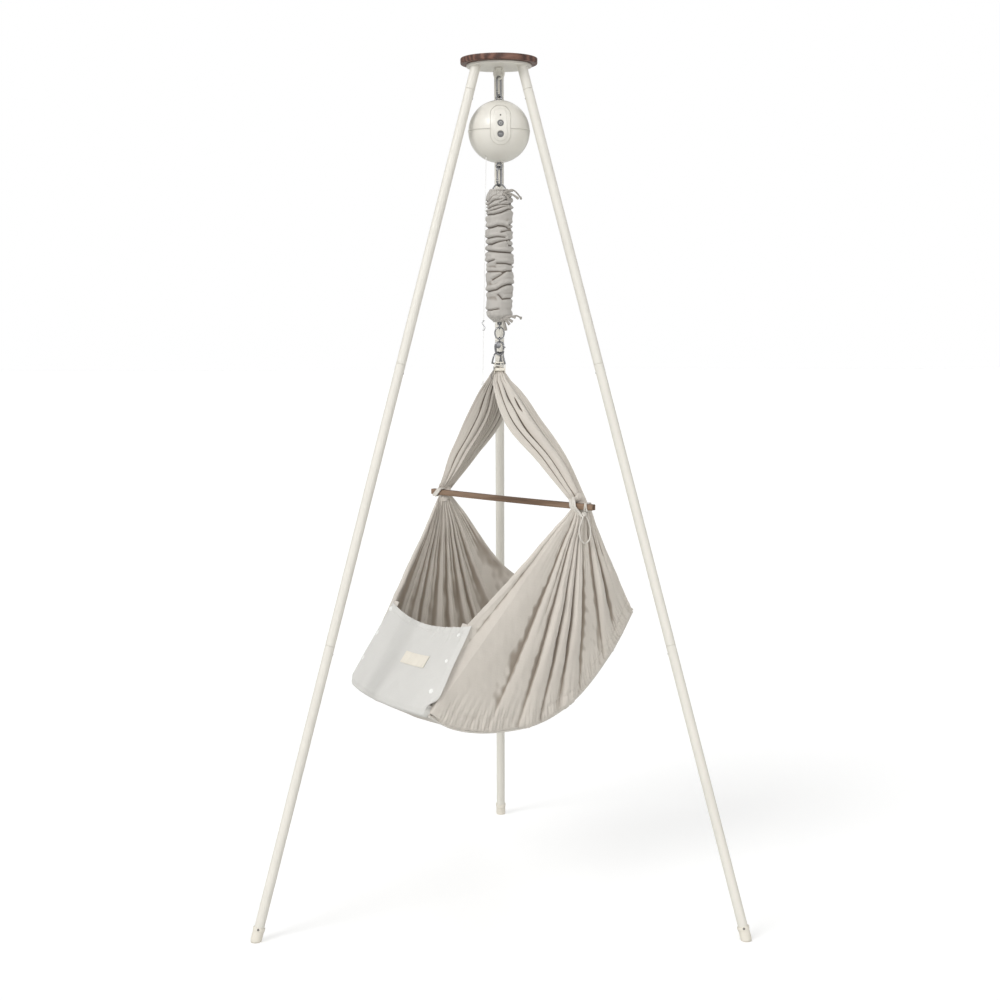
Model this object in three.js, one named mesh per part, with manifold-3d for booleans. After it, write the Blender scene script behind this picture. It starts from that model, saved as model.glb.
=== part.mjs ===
// Baby swing: a tripod stand, a ball-shaped motor unit, a covered spring and a cloth cradle.
// Millimetres, +Z up. The origin is on the floor, at the middle of the stand's footprint.
import * as THREE from 'three';
import { mergeVertices } from 'three/addons/utils/BufferGeometryUtils.js';
import Module from 'manifold-3d';

const wasm = await Module();
wasm.setup();

const GAP = 0.3; // clearance between pieces that touch

// Stand
const STAND_HEIGHT = 1950;
const FOOT_CIRCLE_R = 625;
const HEAD_CIRCLE_R = 59;
const LEG_TOP_Z = 1932;
const LEGS = { left: -150, right: -30, rear: 90 }; // degrees about the stand's axis
const TUBE_R = 11;
const TUBE_WALL = 1.2;
const SPIGOT_LENGTH = 40;
const SOCKET_LENGTH = 58;
const TUBE_JOINTS = [697, 1343]; // from the top of the leg down to each plug-in joint
const TUBE_END_ABOVE_FOOT = 7;
const CAP_R = 12.4;
const CAP_COLLAR_R = 13.4;
const CAP_HEIGHT = 33;
const DISC_R = 87.5;
const DISC_THICKNESS = 13.7;
const PLATE_R = 74;
const PLATE_THICKNESS = 6;
const AXIS_Y = -FOOT_CIRCLE_R / 4; // the stand's axis, seen from the footprint's middle

// Suspension, heights of the chain's contact points on the stand's axis
const WIRE_R = 2.2;
const EYE_R = 10.5;
const EYE_WIRE_R = 2.6;
const EYE_Z = 1915.5;
const HOOK_HALF_WIDTH = 8;
const HOOK_TURN = -32; // degrees about the stand's axis, from the YZ plane
const LOWER_HOOK_LENGTH = 44;
const GATE_GAP = 1.2; // at a gate's hinged end, so that its corner clears the hook as it opens
const MOTOR_EYE_R = 5.9;
const MOTOR_EYE_Z = 1862.8;
const THREAD_X = -31;
const THREAD_Y = -25;
const THREAD_DRIFT = new THREE.Vector3(-9, -15, 0); // from its top to its end
const THREAD_R = 0.8;
const BALL_Z = 1787.5;
const BALL_R = 70;
const SHELL_WALL = 2.5;
const TOP_HOLE_R = 7;
const BOTTOM_HOLE_R = 9.5; // the lower eye rises into it when the drum lifts
const PANEL_TURN = 3; // degrees that the control panel faces away from the front
const PANEL_WIDTH = 46;
const PANEL_HEIGHT = 90;
const PANEL_RISE = 8.6; // panel's middle above the ball's middle
const PANEL_DEPTH = 4;
const BUTTON_R = 7;
const BUTTON_RISES = { power: 11.6, mode: -12.6 };
const LIGHT_RISE = 29.8;
const BOARD_Y = -46; // from the ball's middle, as are the next four
const CHASSIS_Z = 54;
const DRUM_Z = 10;
const ROD_TOP_Z = -24;
const MOTOR_Y = [16, 50];
const CHASSIS_THICKNESS = 4;
const SHANK_R = 4;
const DRUM_R = 12;
const DRUM_Y_HALF = 10;
const DRUM_SHAFT_R = 3;
const MOTOR_R = 17;
const STRAP_THICKNESS = 1.2;
const LOWER_EYE_Z = 1710.5;
const RING_R = 15.4;
const RING_WIRE_R = 1.6;
const SPRING_CAP_R = 15;
const CAP_EYE_R = 5;
const COVER_TOP_Z = 1656;
const COVER_BOTTOM_Z = 1358;
const COVER_R = 31.5;
const COVER_WALL = 2.5;
const TIE_R = 1.8;
const COIL_TOP_Z = 1624;
const COIL_BOTTOM_Z = 1382;
const COIL_R = 16.5;
const COIL_WIRE_R = 1.8;
const COIL_TURNS = 12;
const SWIVEL_PIN_R = 3;
const SWIVEL_EYE_R = 5;
const SWIVEL_EYE_WIRE_R = 2;
const SWIVEL_EYE_Z = 1346;
const LINK_HALF_HEIGHT = 13.6;
const SNAP_EYE_R = 4.5;
const SNAP_EYE_WIRE_R = 1.9;
const SNAP_WIRE_R = 2.4;
const SNAP_GATE_R = 2;
const SNAP_HALF_WIDTH = 9;
const SNAP_LENGTH = 29;
const CRADLE_RING_R = 13.5;
const CRADLE_RING_WIRE_R = 1.8;
const BEND_RISE = 0.9; // the hook's bend is already higher where the two rings lie on it
const THREAD_END_Z = 1219;
const CLIP_TOP_Z = 1361;
const CLIP_BOTTOM_Z = 1337;
const BEAD_R = 3;

// Cradle, in its own turned frame: X across it, Y from foot to head
const CRADLE_TURN = -60; // degrees about the stand's axis
const BAR_TURN = 16; // the spreader bar, from the cradle's X
const BAR_LENGTH = 520;
const BAR_THICKNESS = 13;
const BAR_CENTRE = new THREE.Vector3(-9, 31, 944);
const GATHER_AT = 219; // along the bar, from its middle
const GATHER_R = 13;
const GATHER_HALF_HEIGHT = 15;
const SIDE_X = 200;
const SIDE_THICKNESS = 6;
const BASE_HALF_WIDTH = 190;
const BASE_THICKNESS = 5;
const MATTRESS_HALF_WIDTH = 178;
const MATTRESS_THICKNESS = 26;
const POCKET_CLEARANCE = 4; // between the base panel and the mattress
const FOOT_BULGE = 28;
const COVER_HALF_WIDTH = 191;
const COVER_SAG = 22;
const APEX_TOP_Z = 1249.4;
const APEX_BOTTOM_Z = 1222;

const PAINT = { color: 0xe8e4da, roughness: 0.55, metalness: 0.1 };
const WALNUT = { color: 0x6b4234, roughness: 0.6, metalness: 0 };
const STEEL = { color: 0xb9bbbd, roughness: 0.22, metalness: 0.95 };
const SHELL = { color: 0xe4e0d4, roughness: 0.4, metalness: 0 };
const KEYS = { color: 0x7d7f80, roughness: 0.5, metalness: 0 };
const CLOTH = { color: 0xc9c1b6, roughness: 0.95, metalness: 0 };
const WHITE_CLOTH = { color: 0xdedcd7, roughness: 0.95, metalness: 0 };
const CREAM = { color: 0xe8e2d4, roughness: 0.9, metalness: 0 };
const DARK = { color: 0x3a3c3e, roughness: 0.6, metalness: 0.2 };
const BOARD = { color: 0x2f6b45, roughness: 0.6, metalness: 0.1 };
const NYLON = { color: 0xe9e9e6, roughness: 0.4, metalness: 0 };

const swing = new THREE.Group();
const axis = new THREE.Group();
axis.position.y = AXIS_Y;
swing.add(axis);

// ---- Geometry helpers ----

function radians(degrees) {
  return degrees * Math.PI / 180;
}

function bare(geometry) {
  const copy = geometry.clone();
  copy.deleteAttribute('normal');
  copy.deleteAttribute('uv');
  return mergeVertices(copy, 1e-4);
}

function volume(geometry) {
  const p = geometry.attributes.position;
  const index = geometry.index;
  const a = new THREE.Vector3();
  const b = new THREE.Vector3();
  const c = new THREE.Vector3();
  let sum = 0;
  for (let i = 0; i < index.count; i += 3) {
    a.fromBufferAttribute(p, index.getX(i));
    b.fromBufferAttribute(p, index.getX(i + 1));
    c.fromBufferAttribute(p, index.getX(i + 2));
    sum += a.dot(b.cross(c)) / 6;
  }
  return sum;
}

function facingOut(geometry) {
  const closed = bare(geometry);
  if (volume(closed) < 0) {
    const order = Array.from(closed.index.array);
    for (let i = 0; i < order.length; i += 3) {
      [order[i + 1], order[i + 2]] = [order[i + 2], order[i + 1]];
    }
    closed.setIndex(order);
  }
  return closed;
}

function solid(geometry) {
  const closed = facingOut(geometry);
  return new wasm.Manifold(new wasm.Mesh({
    numProp: 3,
    vertProperties: new Float32Array(closed.attributes.position.array),
    triVerts: new Uint32Array(closed.index.array),
  }));
}

function geometryOf(manifold) {
  const mesh = manifold.getMesh();
  const geometry = new THREE.BufferGeometry();
  geometry.setAttribute('position', new THREE.BufferAttribute(mesh.vertProperties, 3));
  geometry.setIndex(new THREE.BufferAttribute(mesh.triVerts, 1));
  return geometry;
}

function joined(first, ...others) {
  return geometryOf(others.reduce((sum, g) => sum.add(solid(g)), solid(first)));
}

function cutBy(first, ...others) {
  return geometryOf(others.reduce((rest, g) => rest.subtract(solid(g)), solid(first)));
}

function lathe(profile, segments = 12) {
  const points = profile.map(([r, z]) => new THREE.Vector2(r, z));
  points.push(points[0].clone());
  return facingOut(new THREE.LatheGeometry(points, segments).rotateX(Math.PI / 2));
}

function rod(r, z0, z1, segments = 12) {
  return new THREE.CylinderGeometry(r, r, z1 - z0, segments)
    .rotateX(Math.PI / 2).translate(0, 0, (z0 + z1) / 2);
}

function box(x, y, z, cx = 0, cy = 0, cz = 0) {
  return new THREE.BoxGeometry(x, y, z).translate(cx, cy, cz);
}

// A ring of round wire; facing 'y' it lies in the XZ plane, facing 'x' in the YZ plane
function wireRing(r, wire, z, facing, segments = 14) {
  const ring = new THREE.TorusGeometry(r, wire, 6, segments).rotateX(Math.PI / 2);
  if (facing === 'x') {
    ring.rotateZ(Math.PI / 2);
  }
  return ring.translate(0, 0, z);
}

function wireAlong(points, wire, steps, sides = 6) {
  const path = new THREE.CatmullRomCurve3(points, false, 'centripetal');
  const section = new THREE.Shape();
  for (let i = 0; i < sides; i += 1) {
    const angle = i / sides * Math.PI * 2;
    const move = i ? 'lineTo' : 'moveTo';
    section[move](wire * Math.cos(angle), wire * Math.sin(angle));
  }
  return facingOut(new THREE.ExtrudeGeometry(section, {
    steps, extrudePath: path, bevelEnabled: false,
  }));
}

// A closed loop of round wire through the points
function wireLoop(points, wire, steps, sides = 6) {
  const path = new THREE.CatmullRomCurve3(points, true, 'centripetal');
  const frames = path.computeFrenetFrames(steps, true);
  const positions = [];
  const index = [];
  for (let i = 0; i < steps; i += 1) {
    const middle = path.getPointAt(i / steps);
    for (let j = 0; j < sides; j += 1) {
      const angle = j / sides * Math.PI * 2;
      const point = middle.clone().addScaledVector(frames.normals[i], wire * Math.cos(angle))
        .addScaledVector(frames.binormals[i], wire * Math.sin(angle));
      positions.push(point.x, point.y, point.z);
      const a = i * sides + j;
      const b = i * sides + (j + 1) % sides;
      const c = ((i + 1) % steps) * sides + (j + 1) % sides;
      const d = ((i + 1) % steps) * sides + j;
      index.push(a, b, c, a, c, d);
    }
  }
  const geometry = new THREE.BufferGeometry();
  geometry.setAttribute('position', new THREE.Float32BufferAttribute(positions, 3));
  geometry.setIndex(index);
  return facingOut(geometry);
}

function fromRings(rings) {
  const count = rings[0].length;
  const positions = rings.flat().flatMap((p) => [p.x, p.y, p.z]);
  const index = [];
  for (let i = 0; i + 1 < rings.length; i += 1) {
    for (let j = 0; j < count; j += 1) {
      const a = i * count + j;
      const b = i * count + (j + 1) % count;
      index.push(a, b, b + count, a, b + count, a + count);
    }
  }
  const last = (rings.length - 1) * count;
  // each end ring is closed as a strip, from its first and last points to its middle
  for (let j = 0; j < count / 2 - 1; j += 1) {
    const k = count - 1 - j;
    index.push(j, k, k - 1, j, k - 1, j + 1);
    index.push(last + j, last + k - 1, last + k, last + j, last + j + 1, last + k - 1);
  }
  const geometry = new THREE.BufferGeometry();
  geometry.setAttribute('position', new THREE.Float32BufferAttribute(positions, 3));
  geometry.setIndex(index);
  return facingOut(geometry);
}

// A closed sheet of even thickness about the surface pointAt(s, t)
function slab(pointAt, rows, columns, thickness) {
  const step = 1e-3;
  const rings = [];
  for (let i = 0; i <= rows; i += 1) {
    const front = [];
    const back = [];
    for (let j = 0; j <= columns; j += 1) {
      const s = i / rows;
      const t = j / columns;
      const along = pointAt(Math.min(s + step, 1), t).sub(pointAt(Math.max(s - step, 0), t));
      const across = pointAt(s, Math.min(t + step, 1)).sub(pointAt(s, Math.max(t - step, 0)));
      const normal = along.cross(across).normalize().multiplyScalar(thickness / 2);
      front.push(pointAt(s, t).add(normal));
      back.unshift(pointAt(s, t).sub(normal));
    }
    rings.push([...front, ...back]);
  }
  return fromRings(rings);
}

// A closed body through ellipses: each has a middle, half widths along X and Y, and lies level
function levelLoft(sections, sides = 12) {
  return fromRings(sections.map(({ at, halfX, halfY, turn = 0 }) => {
    const ring = [];
    for (let i = 0; i < sides; i += 1) {
      const angle = (i + 0.5) / sides * Math.PI * 2;
      const point = new THREE.Vector3(halfX * Math.cos(angle), halfY * Math.sin(angle), 0);
      ring.push(point.applyAxisAngle(new THREE.Vector3(0, 0, 1), turn).add(at));
    }
    return ring;
  }));
}

function add(parent, name, geometry, look) {
  const mesh = new THREE.Mesh(geometry, new THREE.MeshStandardMaterial(look));
  mesh.name = name;
  parent.add(mesh);
  return mesh;
}

// ---- Stand ----

const legLean = Math.atan2(FOOT_CIRCLE_R - HEAD_CIRCLE_R, LEG_TOP_Z);
const legLength = Math.hypot(FOOT_CIRCLE_R - HEAD_CIRCLE_R, LEG_TOP_Z);

// A frame whose Z runs up one leg from the floor
function legFrame(degrees) {
  const turned = new THREE.Matrix4().makeRotationZ(radians(degrees));
  const leaning = new THREE.Matrix4().makeRotationY(-legLean);
  const foot = new THREE.Matrix4().makeTranslation(FOOT_CIRCLE_R, 0, 0);
  return turned.multiply(foot).multiply(leaning);
}

function tube(length, hasSpigot) {
  const bore = TUBE_R - TUBE_WALL;
  const plug = bore - GAP;
  const profile = [[bore, 0], [TUBE_R, 0], [TUBE_R, length]];
  if (hasSpigot) {
    profile.push([plug, length], [plug, length + SPIGOT_LENGTH]);
    profile.push([plug - TUBE_WALL, length + SPIGOT_LENGTH], [plug - TUBE_WALL, length - 4]);
    profile.push([bore, length - 8]);
  }
  return lathe(profile);
}

function footCap(frame) {
  const bore = TUBE_R + GAP;
  const floor = TUBE_END_ABOVE_FOOT - GAP;
  const cup = lathe([
    [0, -5], [CAP_R - 2, -5], [CAP_R, 4], [CAP_R, CAP_HEIGHT - 8], [CAP_COLLAR_R, CAP_HEIGHT - 7],
    [CAP_COLLAR_R, CAP_HEIGHT - 1], [CAP_COLLAR_R - 1, CAP_HEIGHT], [bore, CAP_HEIGHT],
    [bore, floor], [0, floor],
  ]).applyMatrix4(frame);
  const floorBlock = box(FOOT_CIRCLE_R * 3, FOOT_CIRCLE_R * 3, 60, 0, 0, -30);
  return cutBy(cup, floorBlock);
}

function stand() {
  const plateTop = STAND_HEIGHT - DISC_THICKNESS - GAP;
  const plateBottom = plateTop - PLATE_THICKNESS;
  const disc = lathe([
    [0, plateTop + GAP], [DISC_R - 3, plateTop + GAP], [DISC_R, plateTop + GAP + 3],
    [DISC_R, STAND_HEIGHT - 2], [DISC_R - 2, STAND_HEIGHT], [0, STAND_HEIGHT],
  ], 32);
  add(axis, 'top_disc', disc, WALNUT);

  let head = solid(rod(PLATE_R, plateBottom, plateTop, 32));
  const topOfSockets = box(400, 400, 100, 0, 0, plateTop + 50);
  for (const degrees of Object.values(LEGS)) {
    const outer = rod(TUBE_R, legLength - SOCKET_LENGTH, legLength + 6).applyMatrix4(legFrame(degrees));
    head = head.add(solid(outer));
  }
  head = head.subtract(solid(topOfSockets));
  for (const degrees of Object.values(LEGS)) {
    const low = legLength - SOCKET_LENGTH - 5;
    const bore = rod(TUBE_R - TUBE_WALL, low, low + SPIGOT_LENGTH + 8).applyMatrix4(legFrame(degrees));
    head = head.subtract(solid(bore));
  }
  add(axis, 'head_plate', geometryOf(head), PAINT);

  const ends = [legLength - SOCKET_LENGTH, ...TUBE_JOINTS.map((d) => legLength - d), TUBE_END_ABOVE_FOOT];
  for (const [side, degrees] of Object.entries(LEGS)) {
    const frame = legFrame(degrees);
    ['upper', 'middle', 'lower'].forEach((part, i) => {
      const bottom = ends[i + 1];
      const piece = tube(ends[i] - GAP - bottom, true).translate(0, 0, bottom).applyMatrix4(frame);
      add(axis, `leg_${side}_${part}_tube`, piece, PAINT);
    });
    add(axis, `foot_cap_${side}`, footCap(frame), PAINT);
  }

  const flange = rod(10, plateBottom - GAP - 3, plateBottom - GAP);
  const eye = wireRing(EYE_R, EYE_WIRE_R, EYE_Z, 'y');
  add(axis, 'eye_bolt', joined(flange, eye), PAINT);
}

// ---- Snap hooks ----

// A closed wire loop, open on its front side where the gate goes
function hookBody(top, bottom) {
  const w = HOOK_HALF_WIDTH;
  const p = (y, z) => new THREE.Vector3(0, y, z);
  const route = [
    p(-w, top - w - 3), p(-w, top - w + 1), p(-w * 0.7, top - w * 0.25), p(0, top),
    p(w * 0.7, top - w * 0.25), p(w, top - w), p(w, bottom + w), p(w * 0.7, bottom + w * 0.25), p(0, bottom),
    p(-w * 0.7, bottom + w * 0.25), p(-w, bottom + w - 1), p(-w, bottom + w + 3),
  ];
  return wireAlong(route, WIRE_R, 22).rotateZ(radians(HOOK_TURN));
}

function hookGate(top, bottom) {
  const w = HOOK_HALF_WIDTH;
  return rod(WIRE_R - 0.3, bottom + w + 3 + GATE_GAP, top - w - 3 - GAP, 8).translate(0, -w, 0)
    .rotateZ(radians(HOOK_TURN));
}

// ---- Motor unit ----

function pill(width, height, depth) {
  const r = width / 2;
  const straight = height / 2 - r;
  const outline = new THREE.Shape();
  outline.absarc(0, straight, r, 0, Math.PI);
  outline.absarc(0, -straight, r, Math.PI, Math.PI * 2);
  return new THREE.ExtrudeGeometry(outline, { depth, curveSegments: 6, bevelEnabled: false })
    .rotateX(Math.PI / 2);
}

function shellProfile(sign, hole, outer, inner) {
  const seam = 0.4;
  const steps = 6;
  const profile = [];
  const arc = (r, from, to) => {
    for (let i = 0; i <= steps; i += 1) {
      const angle = from + (to - from) * i / steps;
      profile.push([r * Math.cos(angle), sign * r * Math.sin(angle)]);
    }
  };
  const lip = Math.asin(2 / outer);
  profile.push([outer + 0.8, sign * seam], [outer + 0.8, sign * 2]);
  arc(outer, lip, Math.acos(hole / outer));
  arc(inner, Math.acos(hole / inner), Math.asin(seam / inner));
  return profile;
}

function along(y0, y1, r, x, z, segments = 14) {
  return new THREE.CylinderGeometry(r, r, y1 - y0, segments).translate(x, (y0 + y1) / 2, z);
}

function motorUnit() {
  const unit = new THREE.Group();
  unit.position.z = BALL_Z;
  unit.rotation.z = radians(PANEL_TURN);
  axis.add(unit);
  const inner = BALL_R - SHELL_WALL;
  const opening = pill(PANEL_WIDTH + 2 * GAP, PANEL_HEIGHT + 2 * GAP, BALL_R).translate(0, -20, PANEL_RISE);
  const threadHole = rod(1.8, -BALL_R, -30, 8).translate(THREAD_X, THREAD_Y, 0);
  const upper = lathe(shellProfile(1, TOP_HOLE_R, BALL_R, inner), 24);
  const lower = lathe(shellProfile(-1, BOTTOM_HOLE_R, BALL_R, inner), 24);
  add(unit, 'motor_shell_upper', cutBy(upper, opening), SHELL);
  add(unit, 'motor_shell_lower', cutBy(lower, opening, threadHole), SHELL);

  // the panel is the piece of a thick sphere inside a pill-shaped prism
  const outside = solid(new THREE.SphereGeometry(BALL_R - 0.4, 30, 20).rotateX(Math.PI / 2));
  const inside = solid(new THREE.SphereGeometry(BALL_R - PANEL_DEPTH, 30, 20).rotateX(Math.PI / 2));
  const prism = pill(PANEL_WIDTH, PANEL_HEIGHT, BALL_R).translate(0, -20, PANEL_RISE);
  let panel = outside.subtract(inside).intersect(solid(prism));
  for (const rise of Object.values(BUTTON_RISES)) {
    panel = panel.subtract(solid(along(-BALL_R - 5, -40, BUTTON_R + GAP, 0, rise)));
  }
  panel = panel.subtract(solid(along(-BALL_R - 5, -40, 1.5 + GAP, 0, LIGHT_RISE, 8)));
  add(unit, 'control_panel', geometryOf(panel), SHELL);
  for (const [name, rise] of Object.entries(BUTTON_RISES)) {
    add(unit, `${name}_button`, along(-BALL_R + 0.2, -58, BUTTON_R, 0, rise, 20), KEYS);
  }
  add(unit, 'status_light', along(-BALL_R + 6.6, -52, 1.5, 0, LIGHT_RISE, 8), DARK);
  add(unit, 'circuit_board', box(36, 2, 58, 0, BOARD_Y, PANEL_RISE), BOARD);

  // the load path: top eye, chassis, drum, strap and lift rod
  const ring = wireRing(MOTOR_EYE_R, WIRE_R, MOTOR_EYE_Z - BALL_Z, 'y');
  const under = CHASSIS_Z - CHASSIS_THICKNESS / 2 - GAP;
  const shank = rod(SHANK_R, under - 0.7, MOTOR_EYE_Z - BALL_Z - MOTOR_EYE_R + 0.5);
  const nut = rod(SHANK_R * 2, under - 4.2, under - 0.3);
  add(unit, 'motor_top_eye', joined(ring, shank, nut), STEEL);

  const drumX = -DRUM_R - 1;
  const cheek = (y) => box(34, 3, 70, drumX + 4, y, 20);
  const chassis = joined(box(40, 31, CHASSIS_THICKNESS, 0, 0, CHASSIS_Z), cheek(14), cheek(-14));
  const crosswise = (y0, y1, r) => along(y0, y1, r, drumX, DRUM_Z);
  const eyeHole = rod(SHANK_R + GAP, CHASSIS_Z - 4, CHASSIS_Z + 4);
  const shaftHole = crosswise(-20, 30, DRUM_SHAFT_R + GAP);
  add(unit, 'motor_chassis', cutBy(chassis, eyeHole, shaftHole), STEEL);
  const drum = joined(crosswise(-DRUM_Y_HALF, DRUM_Y_HALF, DRUM_R), crosswise(-17, 28, DRUM_SHAFT_R));
  add(unit, 'lifting_drum', drum, STEEL);
  add(unit, 'gear_motor', cutBy(crosswise(...MOTOR_Y, MOTOR_R), shaftHole), DARK);

  const lowerEye = LOWER_EYE_Z - BALL_Z;
  const strap = box(STRAP_THICKNESS, 14, 41, 0, 0, -4.5);
  const eye = wireRing(MOTOR_EYE_R, WIRE_R, lowerEye, 'y');
  const liftRod = joined(rod(3.5, lowerEye + MOTOR_EYE_R - 0.5, ROD_TOP_Z, 12), strap, eye);
  add(unit, 'lift_rod', liftRod, STEEL);
}

// ---- Spring and its hardware ----

// Each link's bearing wire sits just above the wire that carries it
function above(z, carrier, carried) {
  return z + carrier + carried + GAP;
}

const upperHookTop = above(EYE_Z - EYE_R, EYE_WIRE_R, WIRE_R);
const upperHookBottom = MOTOR_EYE_Z + MOTOR_EYE_R - 2 * WIRE_R - GAP;
const lowerHookTop = above(LOWER_EYE_Z - MOTOR_EYE_R, WIRE_R, WIRE_R);
const lowerHookBottom = lowerHookTop - LOWER_HOOK_LENGTH;
const springRingZ = above(lowerHookBottom, WIRE_R, RING_WIRE_R) - RING_R;
const capEyeZ = above(springRingZ - RING_R, RING_WIRE_R, COIL_WIRE_R) - CAP_EYE_R;
const linkTop = above(SWIVEL_EYE_Z - SWIVEL_EYE_R, SWIVEL_EYE_WIRE_R, RING_WIRE_R);
const linkBottom = linkTop - 2 * LINK_HALF_HEIGHT;
const snapEyeZ = above(linkBottom, RING_WIRE_R, SNAP_EYE_WIRE_R) - SNAP_EYE_R;
const snapTop = snapEyeZ - SNAP_EYE_R - 1.5;
const snapBottom = snapTop - SNAP_LENGTH;
const cradleRingZ = above(snapBottom, SNAP_WIRE_R, CRADLE_RING_WIRE_R) + BEND_RISE - CRADLE_RING_R;

function springUnit() {
  add(axis, 'spring_ring', wireRing(RING_R, RING_WIRE_R, springRingZ, 'y', 20), STEEL);
  const capEye = wireRing(CAP_EYE_R, COIL_WIRE_R, capEyeZ, 'x');
  const cap = rod(SPRING_CAP_R, COIL_TOP_Z + 2, capEyeZ - CAP_EYE_R + 0.5);
  add(axis, 'spring_top_cap', joined(capEye, cap), STEEL);

  const turns = [];
  const perTurn = 9;
  const height = COIL_TOP_Z - COIL_BOTTOM_Z - 2 * COIL_WIRE_R;
  for (let i = 0; i <= COIL_TURNS * perTurn; i += 1) {
    const angle = i / perTurn * Math.PI * 2;
    const z = COIL_BOTTOM_Z + COIL_WIRE_R + height * i / (COIL_TURNS * perTurn);
    turns.push(new THREE.Vector3(COIL_R * Math.cos(angle), COIL_R * Math.sin(angle), z));
  }
  add(axis, 'coil_spring', wireAlong(turns, COIL_WIRE_R, COIL_TURNS * perTurn, 5), STEEL);

  const w = COVER_WALL;
  const top = COVER_TOP_Z;
  const low = COVER_BOTTOM_Z;
  add(axis, 'spring_cover', lathe([
    [20, top], [COVER_R - 5, top - 5], [COVER_R, top - 16], [COVER_R, low + 16], [COVER_R - 5, low + 4],
    [13, low], [13 - w, low + 1], [13 - w, low + w + 1], [COVER_R - 6, low + w + 4],
    [COVER_R - w, low + 17], [COVER_R - w, top - 17], [COVER_R - 6, top - w - 5], [20, top - w],
  ], 14), CLOTH);

  // the tails of the drawstrings that close the cover's two ends
  const p = (x, y, z) => new THREE.Vector3(x, y, z);
  const upperTail = [p(20, -24, 1650), p(28, -26, 1655), p(38, -24, 1650), p(49, -20, 1637)];
  const lowerTail = [p(16, -27, 1366), p(28, -28, 1369), p(39, -24, 1371), p(49, -20, 1366)];
  add(axis, 'cover_tie_upper', wireAlong(upperTail, TIE_R, 16, 8), CLOTH);
  add(axis, 'cover_tie_lower', wireAlong(lowerTail, TIE_R, 16, 8), CLOTH);

  const sleeve = joined(rod(SPRING_CAP_R, 1374, 1379), rod(6, 1359, 1375));
  add(axis, 'spring_foot', cutBy(sleeve, rod(SWIVEL_PIN_R + GAP, 1350, 1385)), STEEL);
}

function swivelUnit() {
  const pin = rod(SWIVEL_PIN_R, SWIVEL_EYE_Z + SWIVEL_EYE_R, 1381);
  const head = rod(5.5, 1379 + GAP, 1383);
  const swivelEye = wireRing(SWIVEL_EYE_R, SWIVEL_EYE_WIRE_R, SWIVEL_EYE_Z, 'x');
  add(axis, 'swivel', joined(pin, head, swivelEye), STEEL);

  const link = new THREE.TorusGeometry(LINK_HALF_HEIGHT, RING_WIRE_R, 6, 16).rotateX(Math.PI / 2);
  const squeezed = link.scale(0.8, 1, 1).translate(0, 0, (linkTop + linkBottom) / 2);
  add(axis, 'oval_link', squeezed, STEEL);

  const w = SNAP_HALF_WIDTH;
  const p = (x, z) => new THREE.Vector3(x, 0, z);
  const loop = wireAlong([
    p(w, snapTop - 8), p(w * 0.75, snapTop - 2.5), p(0, snapTop), p(-w * 0.75, snapTop - 2.5),
    p(-w, snapTop - w), p(-w, snapBottom + w), p(-w * 0.7, snapBottom + w * 0.25), p(0, snapBottom),
    p(w * 0.7, snapBottom + w * 0.25), p(w, snapBottom + w),
  ], SNAP_WIRE_R, 18);
  add(axis, 'snap_hook', joined(loop, wireRing(SNAP_EYE_R, SNAP_EYE_WIRE_R, snapEyeZ, 'x', 14)), STEEL);
  const gate = rod(SNAP_GATE_R, snapBottom + w + 1 + GATE_GAP, snapTop - w, 8).translate(w, 0, 0);
  add(axis, 'snap_hook_gate', gate, STEEL);
}

// ---- Sensor thread, hung from the motor unit ----

function thread() {
  const top = BALL_Z - Math.sqrt(BALL_R ** 2 - THREAD_X ** 2 - THREAD_Y ** 2) + 1.5;
  const onLine = (z) => THREAD_DRIFT.clone().multiplyScalar((top - z) / (top - THREAD_END_Z)).setZ(z);
  const unit = new THREE.Group();
  axis.add(unit);
  const at = new THREE.Vector3(THREAD_X, THREAD_Y, 0)
    .applyAxisAngle(new THREE.Vector3(0, 0, 1), radians(PANEL_TURN));
  unit.position.set(at.x, at.y, 0);
  const middle = (CLIP_TOP_Z + CLIP_BOTTOM_Z) / 2;
  const route = [top, 1600, 1470, middle, 1280, THREAD_END_Z].map(onLine);
  add(unit, 'sensor_thread', wireAlong(route, THREAD_R, 40, 8), NYLON);
  const bore = THREAD_R + 2 * GAP;
  const clip = lathe([
    [bore, CLIP_BOTTOM_Z], [2.6, CLIP_BOTTOM_Z + 3], [3.4, middle], [2.6, CLIP_TOP_Z - 3], [bore, CLIP_TOP_Z],
  ], 10).translate(onLine(middle).x, onLine(middle).y, 0);
  add(unit, 'thread_clip', clip, STEEL);
  const bead = new THREE.SphereGeometry(BEAD_R, 12, 8).translate(...onLine(THREAD_END_Z).toArray());
  add(unit, 'thread_bead', bead.translate(0, 0, -BEAD_R - GAP), NYLON);
}

// ---- Cradle ----

const gatherDirection = new THREE.Vector3(Math.cos(radians(BAR_TURN)), Math.sin(radians(BAR_TURN)), 0);

function gatherAt(side, z) {
  const point = BAR_CENTRE.clone().addScaledVector(gatherDirection, side * GATHER_AT);
  point.z = z;
  return point;
}

// The base's side edge, from foot to head: X is the cradle's Y, Y is the height
const baseLine = new THREE.SplineCurve([
  new THREE.Vector2(-288, 508), new THREE.Vector2(-225, 472), new THREE.Vector2(-130, 453),
  new THREE.Vector2(-10, 459), new THREE.Vector2(92, 508), new THREE.Vector2(182, 600),
  new THREE.Vector2(241, 690),
]);

function footBulge(x, s) {
  const across = 1 - (x / BASE_HALF_WIDTH) ** 2;
  return FOOT_BULGE * Math.max(across, 0) * Math.max(1 - s / 0.35, 0) ** 2;
}

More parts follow.
